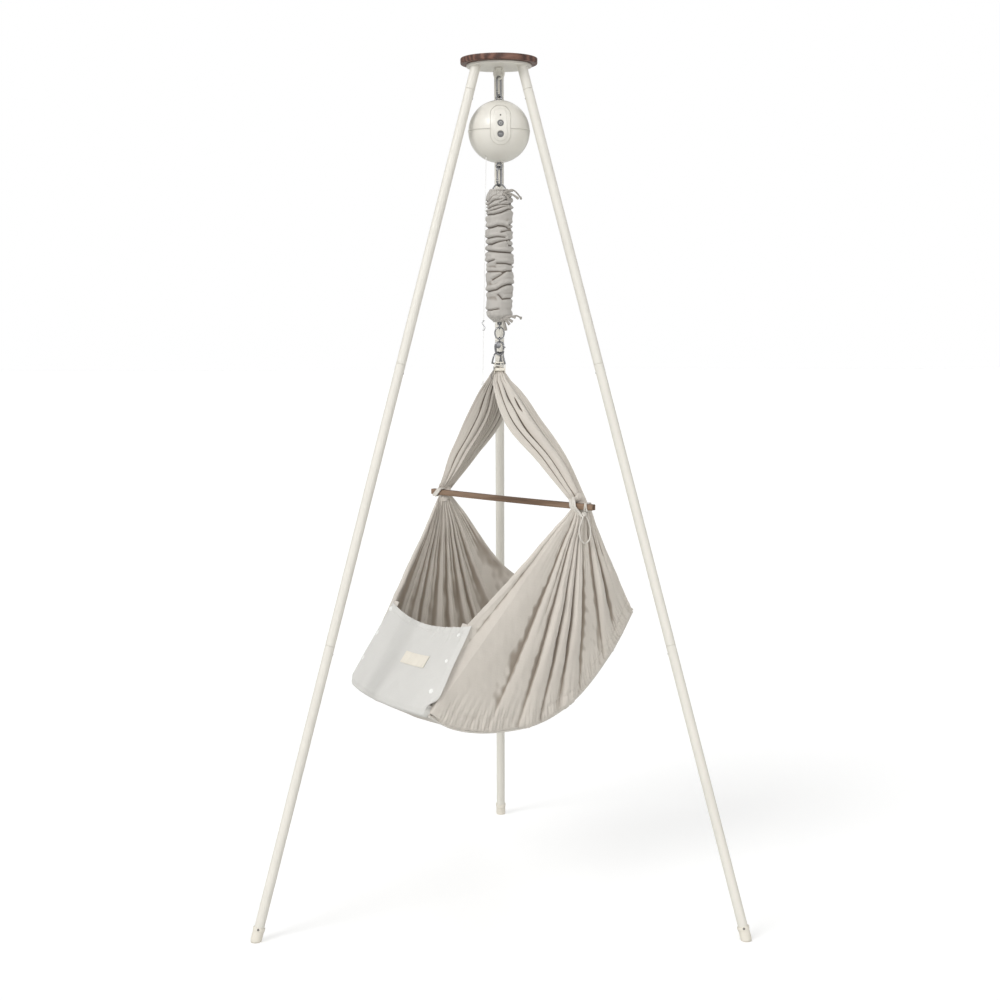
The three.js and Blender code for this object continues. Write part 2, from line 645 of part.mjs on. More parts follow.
function baseSurface(halfWidth, lift, from, to) {
  return (t, s) => {
    const where = from + (to - from) * s;
    const p = baseLine.getPointAt(where);
    const slope = baseLine.getTangentAt(where);
    const x = halfWidth * (2 * t - 1);
    return new THREE.Vector3(x, p.x - slope.y * lift - footBulge(x, where), p.y + slope.x * lift);
  };
}

// The edge of a side panel: up the foot corner, then along the base to the head corner
function sideEdge(s, side) {
  const corner = 0.18;
  if (s < corner) {
    const low = new THREE.Vector3(side * SIDE_X, -288, 508);
    return new THREE.Vector3(side * (SIDE_X - 6), -189, 693).lerp(low, s / corner);
  }
  const p = baseLine.getPointAt((s - corner) / (1 - corner));
  return new THREE.Vector3(side * SIDE_X, p.x, p.y);
}

// Where a sling's middle and half width lie, from the apex (t = 0) to the gather (t = 1)
const SLINGS = {
  left: { side: -1, middle: [0, 17, -3, 0], half: [20, 47, 39, 12] },
  right: { side: 1, middle: [0, -18, -6, 0], half: [20, 50, 40, 13] },
};

function sling({ side, middle, half }) {
  const top = new THREE.Vector3(side * 17, 0, APEX_BOTTOM_Z - GAP - 0.5);
  const foot = gatherAt(side, BAR_CENTRE.z + GATHER_HALF_HEIGHT + GAP + 0.5);
  const count = middle.length - 1;
  const offset = new THREE.SplineCurve(middle.map((m, i) => new THREE.Vector2(i / count, m)));
  const width = new THREE.SplineCurve(half.map((h, i) => new THREE.Vector2(i / count, h)));
  const steps = 8;
  const sections = [];
  for (let i = 0; i <= steps; i += 1) {
    const at = top.clone().lerp(foot, i / steps);
    at.y += offset.getPoint(i / steps).y;
    sections.push({ at, halfX: 7, halfY: width.getPoint(i / steps).y, turn: 0 });
  }
  return levelLoft(sections);
}

function gather(side) {
  const z = BAR_CENTRE.z;
  const bundle = levelLoft([
    { at: gatherAt(side, z + GATHER_HALF_HEIGHT), halfX: 7, halfY: 11 },
    { at: gatherAt(side, z + 9), halfX: GATHER_R, halfY: GATHER_R },
    { at: gatherAt(side, z - 9), halfX: GATHER_R, halfY: GATHER_R },
    { at: gatherAt(side, z - GATHER_HALF_HEIGHT), halfX: 7, halfY: 11 },
  ]);
  const slot = box(60, BAR_THICKNESS + 2 * GAP, BAR_THICKNESS + 2 * GAP)
    .rotateZ(radians(BAR_TURN)).translate(...gatherAt(side, z).toArray());
  return cutBy(bundle, slot);
}

function sidePanel(side) {
  const start = gatherAt(side, BAR_CENTRE.z - GATHER_HALF_HEIGHT + 8);
  const first = 0.05;
  const pointAt = (s, t) => start.clone().lerp(sideEdge(s, side), first + (1 - first) * t);
  return slab(pointAt, 14, 6, SIDE_THICKNESS);
}

function footCover() {
  return slab((t, s) => {
    const x = COVER_HALF_WIDTH * (2 * t - 1);
    const across = 1 - (x / COVER_HALF_WIDTH) ** 2;
    const y = -297 + 102 * s - FOOT_BULGE * across * (1 - 0.5 * s);
    const z = 513 + 180 * s - COVER_SAG * across * s;
    return new THREE.Vector3(x, y, z);
  }, 12, 6, 5);
}

function cradle() {
  const unit = new THREE.Group();
  unit.rotation.z = radians(CRADLE_TURN);
  axis.add(unit);

  for (const [name, x] of [['cradle_ring_left', -2.1], ['cradle_ring_right', 2.1]]) {
    // a D-shaped ring: a straight bar below, a round bow above
    const r = CRADLE_RING_R;
    const bow = [0, 30, 60, 90, 120, 150, 180].map((degrees) => new THREE.Vector3(
      x, r * Math.cos(radians(degrees)), cradleRingZ + r * Math.sin(radians(degrees)),
    ));
    const bar = [-1, -0.75, 0.75, 1].map((y) => new THREE.Vector3(x, r * y, cradleRingZ - r));
    add(axis, name, wireLoop([...bow, ...bar], CRADLE_RING_WIRE_R, 26), STEEL);
  }
  // a band of webbing over both rings' lower wires
  const inside = cradleRingZ - CRADLE_RING_R + CRADLE_RING_WIRE_R + GAP;
  const low = APEX_TOP_Z + GAP;
  const r = 11;
  const band = new THREE.Shape();
  const outline = [[-r - 2, low], [-r - 2, inside - 4], [-r + 2, inside + 2], [r - 2, inside + 2],
    [r + 2, inside - 4], [r + 2, low], [r, low], [r, inside - 4.5], [r - 2.5, inside], [-r + 2.5, inside],
    [-r, inside - 4.5], [-r, low]];
  band.setFromPoints(outline.map(([x, z]) => new THREE.Vector2(x, z)));
  const web = new THREE.ExtrudeGeometry(band, { depth: 18, bevelEnabled: false })
    .rotateX(Math.PI / 2).translate(0, 9, 0);
  add(axis, 'web_loop', web, CREAM);

  add(unit, 'apex_wrap', levelLoft([
    { at: new THREE.Vector3(0, 0, APEX_TOP_Z), halfX: 15, halfY: 14 },
    { at: new THREE.Vector3(0, 0, (APEX_TOP_Z + APEX_BOTTOM_Z) / 2), halfX: 21, halfY: 18 },
    { at: new THREE.Vector3(0, 0, APEX_BOTTOM_Z), halfX: 27, halfY: 22 },
  ]), CLOTH);
  for (const [name, shape] of Object.entries(SLINGS)) {
    add(unit, `sling_${name}`, sling(shape), CLOTH);
    add(unit, `gather_${name}`, gather(shape.side), CLOTH);
    add(unit, `side_panel_${name}`, sidePanel(shape.side), CLOTH);
  }
  const bar = box(BAR_LENGTH, BAR_THICKNESS, BAR_THICKNESS).rotateZ(radians(BAR_TURN))
    .translate(...BAR_CENTRE.toArray());
  add(unit, 'spreader_bar', bar, WALNUT);
  add(unit, 'base_panel', slab(baseSurface(BASE_HALF_WIDTH, 0, 0, 1), 6, 14, BASE_THICKNESS), CLOTH);
  const lift = (BASE_THICKNESS + MATTRESS_THICKNESS) / 2 + POCKET_CLEARANCE;
  const mattress = slab(baseSurface(MATTRESS_HALF_WIDTH, lift, 0.07, 0.96), 6, 14, MATTRESS_THICKNESS);
  add(unit, 'mattress', mattress, CREAM);
  add(unit, 'foot_cover', footCover(), WHITE_CLOTH);

  const knot = gatherAt(1, BAR_CENTRE.z - 15);
  const p = (x, y, z) => new THREE.Vector3(x, y, z);
  const out = SIDE_X + 15;
  add(unit, 'bow_cord', wireAlong([
    p(out, knot.y + 3, knot.z - 3), p(out + 1, knot.y - 4, knot.z - 16), p(out, knot.y - 10, knot.z - 36),
    p(out - 1, knot.y - 6, knot.z - 58), p(out - 1, knot.y + 6, knot.z - 69),
    p(out - 1, knot.y + 18, knot.z - 60), p(out, knot.y + 20, knot.z - 38),
    p(out + 1, knot.y + 13, knot.z - 17), p(out, knot.y + 8, knot.z - 3),
  ], TIE_R, 26, 8), CLOTH);
}

stand();
add(axis, 'upper_hook', hookBody(upperHookTop, upperHookBottom), STEEL);
add(axis, 'upper_hook_gate', hookGate(upperHookTop, upperHookBottom), STEEL);
motorUnit();
add(axis, 'lower_hook', hookBody(lowerHookTop, lowerHookBottom), STEEL);
add(axis, 'lower_hook_gate', hookGate(lowerHookTop, lowerHookBottom), STEEL);
springUnit();
swivelUnit();
thread();
cradle();

export default swing;
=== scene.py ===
"""A baby swing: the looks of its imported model. Metres, +Z up, in the row's own frame."""
import math
import random

import bmesh
import bpy
import numpy as np
from mathutils import Matrix, Vector


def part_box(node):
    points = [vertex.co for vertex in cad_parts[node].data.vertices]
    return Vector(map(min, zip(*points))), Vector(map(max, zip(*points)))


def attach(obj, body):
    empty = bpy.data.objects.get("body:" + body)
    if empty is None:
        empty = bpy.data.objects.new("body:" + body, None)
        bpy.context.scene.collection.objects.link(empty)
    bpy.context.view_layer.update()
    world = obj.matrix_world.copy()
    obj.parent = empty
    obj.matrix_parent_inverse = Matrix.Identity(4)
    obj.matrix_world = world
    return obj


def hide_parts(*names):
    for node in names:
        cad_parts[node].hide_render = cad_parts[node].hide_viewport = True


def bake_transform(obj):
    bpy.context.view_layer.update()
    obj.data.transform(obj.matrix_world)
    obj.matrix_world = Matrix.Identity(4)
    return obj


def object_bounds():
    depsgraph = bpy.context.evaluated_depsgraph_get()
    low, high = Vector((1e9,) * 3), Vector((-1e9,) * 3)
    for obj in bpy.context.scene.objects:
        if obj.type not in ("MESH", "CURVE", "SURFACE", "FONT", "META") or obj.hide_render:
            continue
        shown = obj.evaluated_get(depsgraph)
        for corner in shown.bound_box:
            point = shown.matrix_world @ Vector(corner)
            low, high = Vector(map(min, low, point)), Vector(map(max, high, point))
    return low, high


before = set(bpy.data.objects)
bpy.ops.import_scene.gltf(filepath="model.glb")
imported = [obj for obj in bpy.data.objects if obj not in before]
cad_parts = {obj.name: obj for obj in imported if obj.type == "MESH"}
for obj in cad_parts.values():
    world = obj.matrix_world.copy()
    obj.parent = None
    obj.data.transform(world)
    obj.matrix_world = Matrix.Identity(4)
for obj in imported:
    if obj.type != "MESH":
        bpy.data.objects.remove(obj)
CAD_BOX = [list(corner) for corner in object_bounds()]

# ---- The part's driving dimensions, in metres ----

STAND_HEIGHT = CAD_BOX[1][2]
FOOT_CIRCLE_R = 0.625
HEAD_CIRCLE_R = 0.059
LEG_TOP_Z = 1.932
LEGS = {"left": -150, "right": -30, "rear": 90}
TUBE_R = 0.011
TUBE_WALL = 0.0012
SPIGOT_LENGTH = 0.04
SOCKET_LENGTH = 0.058
TUBE_JOINTS = (0.697, 1.343)
TUBE_END_ABOVE_FOOT = 0.007
CAP_R = 0.0124
CAP_COLLAR_R = 0.0134
CAP_HEIGHT = 0.033
AXIS_Y = -FOOT_CIRCLE_R / 4
AXIS = Matrix.Translation((0, AXIS_Y, 0))
GAP = 0.0003

WIRE_R = 0.0022
HOOK_TURN = math.radians(-32)
PANEL_TURN = math.radians(3)
PANEL_RISE = 0.0086
PANEL_WIDTH = 0.046
PANEL_HEIGHT = 0.09
BUTTON_R = 0.007
BUTTON_RISES = {"power": 0.0116, "mode": -0.0126}
LIGHT_RISE = 0.0298

CRADLE_TURN = math.radians(-60)
CRADLE = AXIS @ Matrix.Rotation(CRADLE_TURN, 4, "Z")
BAR_TURN = math.radians(16)
BAR_CENTRE = Vector((-0.009, 0.031, 0.944))
BAR_LENGTH = 0.52
BAR_THICKNESS = 0.013
GATHER_AT = 0.219
GATHER_HALF_HEIGHT = 0.015
SIDE_X = 0.2

# The base's side edge from foot to head, in the cradle's frame: along it, and height
BASE_LINE = ((-0.288, 0.508), (-0.225, 0.472), (-0.130, 0.453), (-0.010, 0.459),
             (0.092, 0.508), (0.182, 0.600), (0.241, 0.690))
FOOT_TOP = Vector((0.186, -0.189, 0.693))
FOOT_BOTTOM = Vector((0.203, -0.291, 0.514))

# Camera: where the object was seen from
CAMERA_AT = Vector((0, -3.95515, 1.3642))
CAMERA_PITCH = math.radians(-6.311)
CAMERA_ROLL = math.radians(-0.148)
CAMERA_LENS = 59.0


# ---- Small tools ----

def smooth_step(x):
    x = np.clip(x, 0, 1)
    return x * x * (3 - 2 * x)


def mesh_piece(name, points, faces, matrix=None, sharp=40):
    """An object of its own from points and faces, smooth but for edges sharper than sharp degrees."""
    data = bpy.data.meshes.new(name)
    data.from_pydata([tuple(p) for p in points], [], faces)
    if matrix is not None:
        data.transform(matrix)
    clean = bmesh.new()
    clean.from_mesh(data)
    bmesh.ops.remove_doubles(clean, verts=clean.verts, dist=1e-6)
    bmesh.ops.recalc_face_normals(clean, faces=clean.faces)
    clean.to_mesh(data)
    clean.free()
    data.shade_smooth()
    data.set_sharp_from_angle(angle=math.radians(sharp))
    piece = bpy.data.objects.new(name, data)
    bpy.context.scene.collection.objects.link(piece)
    return piece


def lathe(profile, segments=48):
    """Points and faces of a profile of (radius, height) pairs turned about Z; its ends close on the axis or on each other."""
    points = []
    faces = []
    for i in range(segments):
        a = i / segments * math.tau
        points += [(r * math.cos(a), r * math.sin(a), z) for r, z in profile]
    n = len(profile)
    closed = profile[0][0] > 1e-7
    for i in range(segments):
        here, after = i * n, (i + 1) % segments * n
        for j in range(n if closed else n - 1):
            k = (j + 1) % n
            faces.append((here + j, after + j, after + k, here + k))
    return points, faces


def rounded(corners, radius, steps=4):
    """A profile with each corner rounded; a corner that lies on the axis stays."""
    out = []
    for i, corner in enumerate(corners):
        corner = Vector(corner)
        before = Vector(corners[i - 1]) - corner
        after = Vector(corners[(i + 1) % len(corners)]) - corner
        if corner.x < 1e-7 or before.length < 1e-7 or after.length < 1e-7:
            out.append(tuple(corner))
            continue
        r = min(radius, before.length * 0.45, after.length * 0.45)
        a = corner + before.normalized() * r
        b = corner + after.normalized() * r
        for k in range(steps + 1):
            t = k / steps
            p = a * (1 - t) ** 2 + corner * 2 * t * (1 - t) + b * t ** 2
            out.append((p.x, p.y))
    return out


def smooth_path(points, steps, closed=False):
    """Points at even steps on a Catmull-Rom curve through the given ones."""
    points = [Vector(p) for p in points]
    n = len(points)
    spans = n if closed else n - 1
    fine = []
    for i in range(spans):
        if closed:
            p = [points[(i + k - 1) % n] for k in range(4)]
        else:
            p = [points[max(0, min(n - 1, i + k - 1))] for k in range(4)]
        for k in range(12):
            t = k / 12
            fine.append(0.5 * (2 * p[1] + (p[2] - p[0]) * t + (2 * p[0] - 5 * p[1] + 4 * p[2] - p[3]) * t ** 2
                               + (3 * p[1] - p[0] - 3 * p[2] + p[3]) * t ** 3))
    fine.append(points[0] if closed else points[-1])
    lengths = np.concatenate([[0], np.cumsum([(b - a).length for a, b in zip(fine, fine[1:])])])
    array = np.array([tuple(p) for p in fine])
    where = np.linspace(0, lengths[-1], steps + 1)
    out = [Vector([np.interp(w, lengths, array[:, k]) for k in range(3)]) for w in where]
    return out[:-1] if closed else out


def swept(path, radius, sides=12, closed=False, flat=1.0):
    """Points and faces of a tube along a path. radius is a number or a function of 0 to 1; flat squeezes its section."""
    n = len(path)
    points = []
    faces = []
    tangents = []
    for i in range(n):
        a = path[(i - 1) % n] if closed or i else path[0]
        b = path[(i + 1) % n] if closed or i < n - 1 else path[-1]
        tangents.append((b - a).normalized())
    normal = tangents[0].orthogonal().normalized()
    normals = [normal]
    for i in range(1, n):
        normal = tangents[i - 1].rotation_difference(tangents[i]) @ normal
        normals.append(normal.normalized())
    if closed:
        end = tangents[-1].rotation_difference(tangents[0]) @ normals[-1]
        twist = end.angle(normals[0], 0)
        if end.cross(normals[0]).dot(tangents[0]) < 0:
            twist = -twist
        for i in range(n):
            normals[i] = Matrix.Rotation(twist * i / n, 3, tangents[i]) @ normals[i]
    for i in range(n):
        across = tangents[i].cross(normals[i])
        r = radius(i / (n - 1)) if callable(radius) else radius
        for j in range(sides):
            a = j / sides * math.tau
            points.append(path[i] + normals[i] * (r * math.cos(a)) + across * (r * flat * math.sin(a)))
    for i in range(n if closed else n - 1):
        here, after = i * sides, (i + 1) % n * sides
        for j in range(sides):
            k = (j + 1) % sides
            faces.append((here + j, here + k, after + k, after + j))
    if not closed:
        faces.append(tuple(range(sides))[::-1])
        faces.append(tuple(range((n - 1) * sides, n * sides)))
    return points, faces


def ring_path(r, z, facing, steps=48, height=None):
    """A round or oval loop on the axis at height z; facing y it lies in the XZ plane, facing x in the YZ plane."""
    out = []
    for i in range(steps):
        a = i / steps * math.tau
        across, up = r * math.cos(a), (height or r) * math.sin(a)
        out.append(Vector((across, 0, z + up)) if facing == "y" else Vector((0, across, z + up)))
    return out


def together(*shapes):
    """Several (points, faces) as one."""
    points = []
    faces = []
    for more, its in shapes:
        faces += [tuple(i + len(points) for i in face) for face in its]
        points += [tuple(p) for p in more]
    return points, faces


def moved(shape, matrix):
    points, faces = shape
    return [matrix @ Vector(p) for p in points], faces


def boolean(piece, other, operation):
    """piece joined with or cut by other, which is used up."""
    step = piece.modifiers.new("join", "BOOLEAN")
    step.operation = operation
    step.solver = "EXACT"
    step.object = other
    bpy.context.view_layer.update()
    made = bpy.data.meshes.new_from_object(piece.evaluated_get(bpy.context.evaluated_depsgraph_get()))
    old = piece.data
    piece.modifiers.clear()
    piece.data = made
    bpy.data.meshes.remove(old)
    bpy.data.objects.remove(other)
    made.shade_smooth()
    made.set_sharp_from_angle(angle=math.radians(30))
    return piece


def stand_for(piece, body, slot, material, *nodes):
    """piece rides on body, takes the given material and stands for the CAD nodes, which it hides. slot is not used."""
    piece.data.materials.clear()
    piece.data.materials.append(material)
    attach(piece, body)
    if nodes:
        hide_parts(*nodes)
    return piece


# ---- Materials ----

class Nodes:
    """A short way to write a material's node tree."""

    def __init__(self, name, **inputs):
        self.material = bpy.data.materials.new(name)
        self.material.use_nodes = True
        self.tree = self.material.node_tree
        self.shader = self.tree.nodes["Principled BSDF"]
        for socket, value in inputs.items():
            self.set(socket.replace("_", " ").capitalize(), value)

    def set(self, socket, value):
        found = next(s for s in self.shader.inputs if s.name.lower() == socket.lower())
        found.default_value = (*value, 1) if isinstance(value, tuple) and len(value) == 3 else value

    def add(self, kind, links=(), **values):
        node = self.tree.nodes.new(kind)
        for key, value in values.items():
            if key in node.inputs:
                node.inputs[key].default_value = value
            elif key.replace("_", " ") in node.inputs:
                node.inputs[key.replace("_", " ")].default_value = value
            else:
                setattr(node, key, value)
        for socket, source in dict(links).items():
            self.link(source, node.inputs[socket])
        return node

    def link(self, source, socket):
        self.tree.links.new(source, socket)

    def place(self, scale=(1, 1, 1), turn=0.0, uv=False):
        """Object coordinates, or the cloth's own, scaled and turned about Z."""
        if uv:
            where = self.add("ShaderNodeUVMap", uv_map="cloth").outputs["UV"]
        else:
            where = self.add("ShaderNodeTexCoord").outputs["Object"]
        mapping = self.add("ShaderNodeMapping", {"Vector": where}, vector_type="TEXTURE")
        mapping.inputs["Rotation"].default_value = (0, 0, turn)
        mapping.inputs["Scale"].default_value = tuple(1 / s for s in scale)
        return mapping.outputs["Vector"]

    def noise(self, where, scale=1.0, detail=2.0, roughness=0.5):
        node = self.add("ShaderNodeTexNoise", {"Vector": where}, Scale=scale, Detail=detail, Roughness=roughness)
        return node.outputs["Fac"]

    def ramp(self, factor, *stops):
        node = self.add("ShaderNodeValToRGB", {"Fac": factor})
        for i, (at, colour) in enumerate(stops):
            stop = node.color_ramp.elements[i] if i < 2 else node.color_ramp.elements.new(at)
            stop.position = at
            stop.color = (*colour, 1) if isinstance(colour, tuple) else (colour, colour, colour, 1)
        return node.outputs["Color"]

    def maths(self, operation, a, b):
        node = self.add("ShaderNodeMath", operation=operation)
        for socket, value in zip(node.inputs, (a, b)):
            if isinstance(value, (int, float)):
                socket.default_value = value
            else:
                self.link(value, socket)
        return node.outputs["Value"]

    def bump(self, height, distance, strength=1.0, before=None):
        node = self.add("ShaderNodeBump", {"Height": height}, Distance=distance, Strength=strength)
        if before is not None:
            self.link(before, node.inputs["Normal"])
        return node.outputs["Normal"]

    def to(self, socket, source):
        self.link(source, self.shader.inputs[socket])


def tinted(colour, by):
    return tuple(min(1, c * by) for c in colour)


def paint_material():
    n = Nodes("powder_coat", metallic=0.0, coat_weight=0.12, coat_roughness=0.3)
    where = n.place()
    cream = (0.735, 0.71, 0.65)
    tone = n.ramp(n.noise(where, 9, 3), (0.35, tinted(cream, 0.97)), (0.65, cream))
    n.to("Base Color", tone)
    n.to("Roughness", n.ramp(n.noise(where, 60, 3), (0.3, 0.42), (0.7, 0.54)))
    n.to("Normal", n.bump(n.noise(where, 1600, 2), 0.0002, 0.25))
    return n.material


def plastic_material(name, colour, rough, grain=2200, depth=0.0001, coat=0.0):
    n = Nodes(name, metallic=0.0, coat_weight=coat, coat_roughness=0.15)
    where = n.place()
    n.to("Base Color", n.ramp(n.noise(where, 14, 3), (0.3, tinted(colour, 0.96)), (0.7, colour)))
    n.to("Roughness", n.ramp(n.noise(where, 45, 4), (0.3, rough - 0.05), (0.7, rough + 0.07)))
    n.to("Normal", n.bump(n.noise(where, grain, 2), depth, 0.3))
    return n.material


def wood_material(name, dark, middle, light, turn):
    """Walnut whose grain runs along X turned by turn, with growth bands, streaks and open pores."""
    n = Nodes(name, metallic=0.0, coat_weight=0.08, coat_roughness=0.35)
    grain = n.place((2.2, 26, 26), turn)
    bend = n.noise(n.place((3, 9, 9), turn), 1, 2)
    bands = n.add("ShaderNodeTexWave", {"Vector": grain}, Scale=0.9, Distortion=5.5, Detail=3.0,
                  bands_direction="Y", Detail_Scale=1.4)
    streaks = n.noise(n.place((14, 420, 420), turn), 1, 4, 0.6)
    mixed = n.maths("ADD", n.maths("MULTIPLY", bands.outputs["Fac"], 0.45), n.maths("MULTIPLY", streaks, 0.4))
    mixed = n.maths("ADD", mixed, n.maths("MULTIPLY", bend, 0.22))
    n.to("Base Color", n.ramp(mixed, (0.22, dark), (0.8, light), (0.5, middle)))
    pores = n.noise(n.place((60, 1900, 1900), turn), 1, 2)
    n.to("Roughness", n.ramp(pores, (0.35, 0.62), (0.6, 0.42)))
    n.to("Normal", n.bump(n.ramp(pores, (0.36, 0.0), (0.46, 1.0)), 0.0002, 0.5))
    return n.material


def steel_material(name="plated_steel", colour=(0.27, 0.27, 0.28), rough=0.08):
    n = Nodes(name, metallic=1.0)
    where = n.place()
    n.to("Base Color", n.ramp(n.noise(where, 90, 4), (0.3, tinted(colour, 0.86)), (0.65, colour)))
    n.to("Roughness", n.ramp(n.noise(where, 240, 4), (0.3, rough), (0.75, rough + 0.12)))
    n.to("Normal", n.bump(n.noise(n.place((300, 300, 2600)), 1, 3), 0.00008, 0.25))
    return n.material


def cloth_material(name, colour, shade=0.9, count=620, uv=True, sheen=0.25, weave=0.35):
    """Plain-weave cotton: warp and weft threads, uneven yarns, soft creases and a little nap, with painted shade that
    darkens its colour deep in the folds.
    """
    n = Nodes(name, metallic=0.0, roughness=0.92, sheen_weight=sheen, sheen_roughness=0.6,
              specular_ior_level=0.2)
    cloth = n.place(uv=uv)
    warp = n.add("ShaderNodeTexWave", {"Vector": cloth}, Scale=count / 6.2832, Distortion=0.6, Detail=1.0,
                 Detail_Scale=0.3, bands_direction="X")
    weft = n.add("ShaderNodeTexWave", {"Vector": cloth}, Scale=count / 6.2832, Distortion=0.6, Detail=1.0,
                 Detail_Scale=0.3, bands_direction="Y")
    threads = n.maths("MAXIMUM", warp.outputs["Fac"], weft.outputs["Fac"])
    yarn_a = n.noise(n.place((18, 900, 900), uv=uv), 1, 3)
    yarn_b = n.noise(n.place((900, 18, 900), uv=uv), 1, 3)
    yarns = n.maths("ADD", n.maths("MULTIPLY", yarn_a, 0.5), n.maths("MULTIPLY", yarn_b, 0.5))
    patch = n.noise(n.place((7, 7, 7), uv=uv), 1, 3)
    mixed = n.maths("ADD", n.maths("MULTIPLY", yarns, 0.55), n.maths("MULTIPLY", patch, 0.45))
    plain = n.ramp(mixed, (0.36, tinted(colour, shade)), (0.66, colour))
    # painted shade: the hollow attribute darkens the colour from white to dark brown deep in the cloth's folds
    hollow = n.add("ShaderNodeAttribute", attribute_name="hollow", attribute_type="GEOMETRY").outputs["Fac"]
    dim = n.ramp(hollow, (0.04, (1.0, 1.0, 1.0)), (0.45, (0.50, 0.455, 0.41)), (1.0, (0.13, 0.10, 0.085)))
    shaded = n.add("ShaderNodeVectorMath", operation="MULTIPLY")
    n.link(plain, shaded.inputs[0])
    n.link(dim, shaded.inputs[1])
    n.to("Base Color", shaded.outputs["Vector"])
    creases = n.noise(n.place((38, 38, 38), uv=uv), 1, 4, 0.6)
    soft = n.bump(creases, 0.004, 0.22)
    n.to("Normal", n.bump(n.maths("ADD", threads, n.maths("MULTIPLY", yarns, 0.8)), 0.0003, weave, soft))
    return n.material


MATERIALS = {
    "paint": paint_material(),
    "foot": plastic_material("foot_cap_plastic", (0.74, 0.70, 0.62), 0.5),
    "disc_wood": wood_material("disc_walnut", (0.030, 0.011, 0.007), (0.095, 0.037, 0.024), (0.20, 0.095, 0.065), 0.35),
    "bar_wood": wood_material("bar_walnut", (0.075, 0.040, 0.022), (0.165, 0.100, 0.060), (0.27, 0.18, 0.12),
                              CRADLE_TURN + BAR_TURN),
    "steel": steel_material(),
    "shell": plastic_material("shell_plastic", (0.76, 0.735, 0.675), 0.34, coat=0.2),
    "button": plastic_material("button_rubber", (0.16, 0.16, 0.165), 0.5, 3000),
    "mark": plastic_material("button_mark", (0.62, 0.62, 0.60), 0.5),
    "dark": plastic_material("dark_plastic", (0.02, 0.02, 0.022), 0.45),
    "board": plastic_material("board_lacquer", (0.02, 0.11, 0.045), 0.35),
    "cover_cloth": cloth_material("grey_cotton", (0.49, 0.465, 0.435), 0.9),
    "greige_cloth": cloth_material("greige_cotton", (0.62, 0.575, 0.52), 0.92),
    "white_cloth": cloth_material("white_cotton", (0.64, 0.63, 0.605), 0.95, sheen=0.12),
    "webbing": cloth_material("cream_webbing", (0.80, 0.755, 0.66), 0.92, count=380),
    "ticking": cloth_material("mattress_ticking", (0.80, 0.77, 0.70), 0.94, uv=False, sheen=0.15),
    "label": cloth_material("label_tape", (0.76, 0.715, 0.63), 0.95, count=900, sheen=0.1),
    "tape": cloth_material("tie_cotton", (0.36, 0.335, 0.305), 0.88, uv=False, count=700),
    "light_tape": cloth_material("loop_cotton", (0.66, 0.63, 0.58), 0.92, uv=False, count=700),
    "thread": plastic_material("nylon_thread", (0.86, 0.86, 0.85), 0.3),
    "stud": plastic_material("press_stud", (0.86, 0.86, 0.84), 0.25, coat=0.4),
}


# ---- Camera ----

def camera():
    data = bpy.data.cameras.new("camera")
    data.sensor_width = 36.0
    data.lens = CAMERA_LENS
    data.clip_start = 0.05
    data.clip_end = 60
    cam = bpy.data.objects.new("camera", data)
    bpy.context.scene.collection.objects.link(cam)
    ahead = Vector((0, math.cos(CAMERA_PITCH), math.sin(CAMERA_PITCH)))
    level = Vector((1, 0, 0))
    above = level.cross(ahead)
    right = level * math.cos(CAMERA_ROLL) + above * math.sin(CAMERA_ROLL)
    up = right.cross(ahead)
    turn = Matrix((right, up, -ahead)).transposed()
    cam.matrix_world = Matrix.Translation(CAMERA_AT) @ turn.to_4x4()
    bpy.context.scene.camera = cam


camera()


# ---- Free cords, by the routes that the CAD model gives them ----

def cord_piece(name, route, radius, steps, material, matrix):
    """A round cord as a curve of one open spline through the route."""
    data = bpy.data.curves.new(name, "CURVE")
    data.dimensions = "3D"
    data.bevel_depth = radius
    data.bevel_resolution = 4
    data.use_fill_caps = True
    path = smooth_path([matrix @ Vector(p) for p in route], steps)
    line = data.splines.new("POLY")
    line.points.add(len(path) - 1)
    for point, place in zip(line.points, path):
        point.co = (*place, 1)
    line.use_smooth = True
    piece = bpy.data.objects.new(name, data)
    bpy.context.scene.collection.objects.link(piece)
    data.materials.append(MATERIALS[material])
    length = sum((b - a).length for a, b in zip(path, path[1:]))
    return piece, path, length


def knot(name, centre, size, material, matrix=Matrix.Identity(4), seed=0):
    """A small overhand knot: a trefoil of cord pulled tight."""
    draw = random.Random(seed)
    turn = Matrix.Rotation(draw.uniform(0, 6), 4, "Z") @ Matrix.Rotation(draw.uniform(0.8, 1.8), 4, "X")
    path = []
    for i in range(60):
        a = i / 60 * math.tau
        path.append(Vector((math.sin(a) + 2 * math.sin(2 * a), math.cos(a) - 2 * math.cos(2 * a),
                            -1.1 * math.sin(3 * a))) * size * 0.2)
    shape = moved(swept(path, size * 0.36, 10, closed=True), matrix @ Matrix.Translation(centre) @ turn)
    piece = mesh_piece(name, *shape)
    piece.data.materials.append(MATERIALS[material])
    return piece


THREAD_TOP = Vector((-0.031, -0.025, 1.7289))
THREAD_DRIFT = Vector((-0.009, -0.015, 0))
THREAD_END_Z = 1.219
THREAD_R = 0.0008
CLIP_Z = 1.349


def on_thread(z):
    """The thread's place at a height, in the row frame."""
    top = Matrix.Rotation(PANEL_TURN, 4, "Z") @ THREAD_TOP
    share = (THREAD_TOP.z - z) / (THREAD_TOP.z - THREAD_END_Z)
    return AXIS @ (Vector((top.x, top.y, z)) + THREAD_DRIFT * share)


